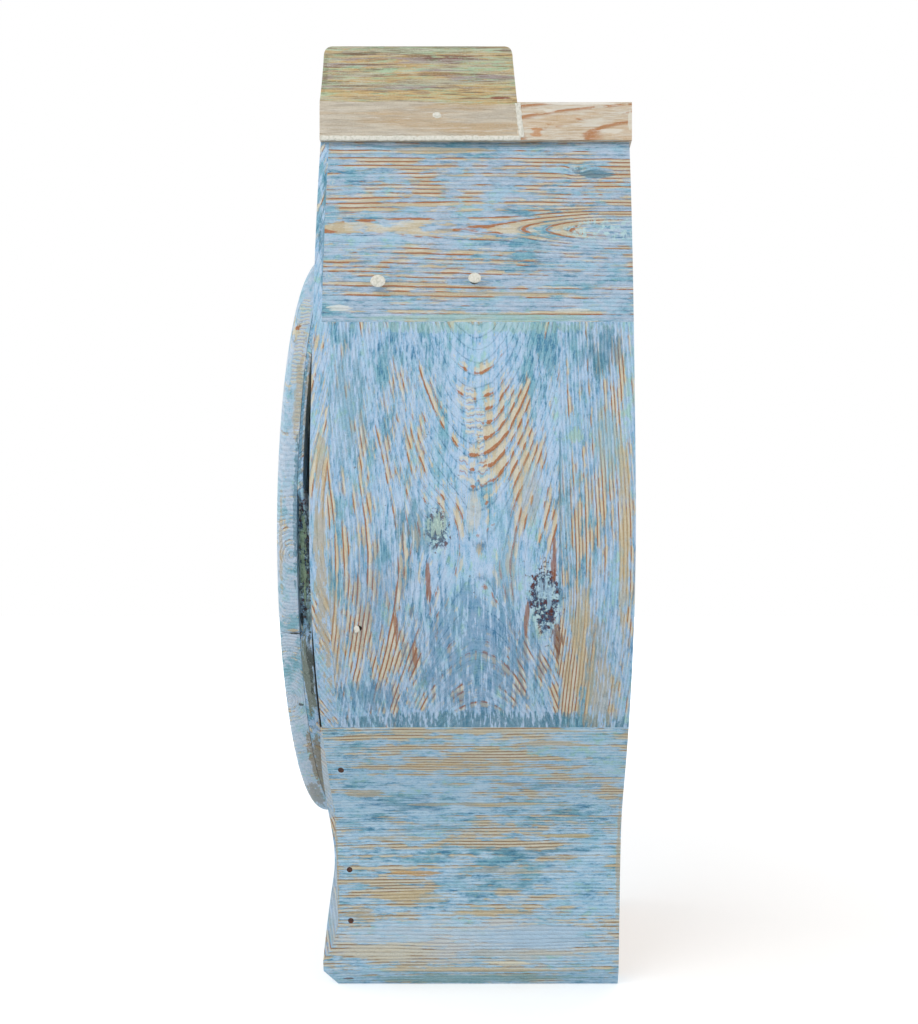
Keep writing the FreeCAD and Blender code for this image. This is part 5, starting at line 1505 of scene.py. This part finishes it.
@dataclass
class Door:
    """The round door: its six ring segments, glass, putty and hinges.

    Each segment has the angle of its middle, in degrees anticlockwise from the picture's side. Its marks are rows in
    millimetres.
    """

    front_middles: tuple[float, ...] = (43.0, 163.0, 283.0)
    rear_middles: tuple[float, ...] = (103.0, 223.0, 343.0)
    front_touches: tuple[Touch, ...] = rows(Touch, (
        (-95.5, 390, 5, 50, TAN, 0.55, 1.6), (-94.5, 320, 2.2, 70, TEAL, 0.65, 1.6),
        (-103, 300, 1.8, 50, TAN, 0.55, 1.8), (-91.6, 256, 3, 6, SOOT, 0.9, 0.6),
        (-97.5, 248, 6, 1.6, TAN, 0.9, 0.8),
    ))
    front_chatters: tuple[Chatter, ...] = rows(Chatter, (
        (-98.5, 395, 460, 3.4, 2.7), (-95.5, 360, 420, 1.6, 2.7),
    ))
    low_touches: tuple[Touch, ...] = rows(Touch, (
        (-96, 246.2, 6, 0.9, SOOT, 0.95, 0.4), (-96.5, 201, 2.8, 1.6, SOOT, 0.8, 0.8),
        (-92, 195, 2, 2.6, SOOT, 0.8, 0.8), (-93, 160, 6, 36, BARK, 0.75, 1.2), (-100, 130, 9, 20, BARK, 0.55, 1.4),
    ))
    # Dirt and crumbled paint on the broken rim, and painted shade in the gap above it.
    grime_and_gap_shade: tuple[Touch, ...] = rows(Touch, (
        (-89.8, 288, 11, 44, SOOT, 0.7, 3.4), (-92.6, 254.5, 1.4, 7, PITCH, 0.95, 0.3),
        (-90.6, 295, 2.6, 40, tint(164, 190, 156), 0.85, 4.0),
        (-93.2, 290, 1.2, 42, tint(150, 176, 170), 0.85, 1.8), (-88, 265, 1.8, 30, tint(128, 146, 128), 0.7, 2.0),
        (-90, 220, 5.5, 42, tint(122, 124, 100), 0.85, 1.4), (-88.5, 230, 2.5, 30, SOOT, 0.7, 2.6),
        # painted shade: the near-black stripe along the thinned upper rim, the first row below, darkens the gap
        # between the door and the case
        (-88.4, 385, 4, 130, tint(50, 46, 42), 0.96, 0.2), (-92.5, 370, 3, 70, TEAL, 0.65, 2.0),
        (-91, 385, 1.4, 60, TAN, 0.55, 2.2), (-89.8, 150, 9, 50, BARK, 0.8, 1.0),
    ))
    # painted shade: dark brown over the back face of every rear ring segment, so that the gap between the door and
    # the case looks dark
    back_face_shade: Touch = Touch(-0.0861, 0.307, 0.0009, 0.400, tint(70, 62, 54), 0.95, 0.2)
    crumbs: Knot = Knot(-0.0905, 0.2930, 0.0055, 0.0400, 0.0, 1.0)

    def dress(self, nodes: Nodes) -> None:
        """Gives each part of the door its finish.

        Args:
            nodes: the carried-over solids by name.
        """
        self.dress_rings(nodes)
        paint(nodes, WindowGlass().mix("door_glass_sheet"), "door_glass")
        nodes["door_glass"].visible_shadow = False
        paint(nodes, Filler(tint(196, 186, 160), tint(156, 146, 122)).mix("putty_bead"), "glass_putty")
        iron = Metal(tint(88, 80, 74), tint(104, 68, 46), 0.5, 0.6, 0.8).mix("hinge_iron")
        paint(nodes, iron, "hinge_door_leaves", "hinge_case_leaves", "hinge_pins")

    def dress_rings(self, nodes: Nodes) -> None:
        """Gives each ring segment its finish and puts the broken one in its place.

        Args:
            nodes: the carried-over solids by name.
        """
        coat = Coat(pale=tint(206, 220, 236), middle=tint(174, 202, 224), deep=tint(104, 150, 176))
        touches = {1: self.front_touches, 3: self.low_touches}
        for number, middle in enumerate(self.front_middles, 1):
            name = f"ring_front_{number}"
            board = Board(-0.10, 0.447, Fibre.WIDE, 0.0017, 0.02, 1.0, turn=middle - 90)
            finish = PaintedPine(board, coat, bareness=0.22, rust=0.2, shade=0.35, touches=touches.get(number, ()),
                                 chatters=self.front_chatters if number == 1 else ())
            paint(nodes, finish.mix(f"{name}_paint"), name)
        for number, middle in enumerate(self.rear_middles, 1):
            name = f"ring_rear_{number}"
            broken = number == len(self.rear_middles)
            board = Board(-0.10, 0.457, Fibre.WIDE, 0.0019, 0.02, 1.0, turn=middle - 90,
                          knots=(self.crumbs,) if broken else ())
            finish = PaintedPine(board, bareness=0.35, rust=0.4, shade=0.8,
                                 touches=(*(self.grime_and_gap_shade if broken else ()), self.back_face_shade))
            material = finish.mix(f"{name}_paint")
            paint(nodes, material, name)
            if broken:
                BrokenRing().build(material)


@dataclass
class Movement:
    """The dial's metalwork and the eight day movement behind it.

    Each arbor has its x and z. Wheels with none there are brass all through.
    """

    arbors: tuple[tuple[str, float, float], ...] = (
        ("centre_arbor", 0.0, 0.307),
        ("going_drum", 0.0412, 0.301),
        ("third_wheel", -0.00547, 0.33802),
        ("escape_wheel", 0.0, 0.36293),
        ("pin_wheel", -0.03418, 0.33712),
        ("strike_drum", -0.0412, 0.301),
        ("warning_wheel", -0.04321, 0.36193),
    )

    def dress(self, nodes: Nodes) -> None:
        """Gives each metal part its finish.

        Args:
            nodes: the carried-over solids by name.
        """
        bright, dark, steel = tint(214, 176, 104), tint(140, 104, 56), tint(120, 120, 122)
        plate = Metal(bright, dark, 0.34, 0.4).mix("plate_brass")
        paint(nodes, plate, "movement_front_plate", "movement_back_plate")
        brass = Metal(bright, dark, 0.30, 0.45)
        for name in ("cannon_wheel", "hour_wheel", "minute_wheel"):
            paint(nodes, brass.mix(f"{name}_metal"), name)
        for name, x, z in self.arbors:
            paint(nodes, replace(brass, core=steel, axis_x=x, axis_z=z).mix(f"{name}_metal"), name)
        iron = Metal(tint(112, 108, 104), tint(96, 66, 48), 0.42, 0.5, 0.9).mix("worked_iron")
        paint(nodes, iron, "plate_pillars", "seat_bolts", "bell_stand", "suspension_cock", "anchor", "fly", "hammer",
              "dial_feet")
        paint(nodes, OldNails().mix("rusty_nails"), "case_nails")
        hands = Metal(tint(206, 168, 96), tint(120, 90, 50)).mix("hand_brass")
        paint(nodes, hands, "minute_hand", "hour_hand", "hand_collet")
        paint(nodes, Metal(tint(196, 158, 104), tint(110, 88, 60), 0.28, 0.45).mix("bell_bronze"), "bell")
        paint(nodes, DialPaint().mix("dial_paint"), "dial_plate")


def main() -> None:
    """Loads the part, dresses it and stands it in the studio."""
    logging.basicConfig(level=logging.INFO, format="%(name)s: %(message)s")
    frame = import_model()
    nodes = frame["nodes"]
    Studio().build()
    CaseWood().dress(nodes)
    FillerWork().build()
    Door().dress(nodes)
    DialFace().build()
    Movement().dress(nodes)


if __name__ == "__main__":
    main()
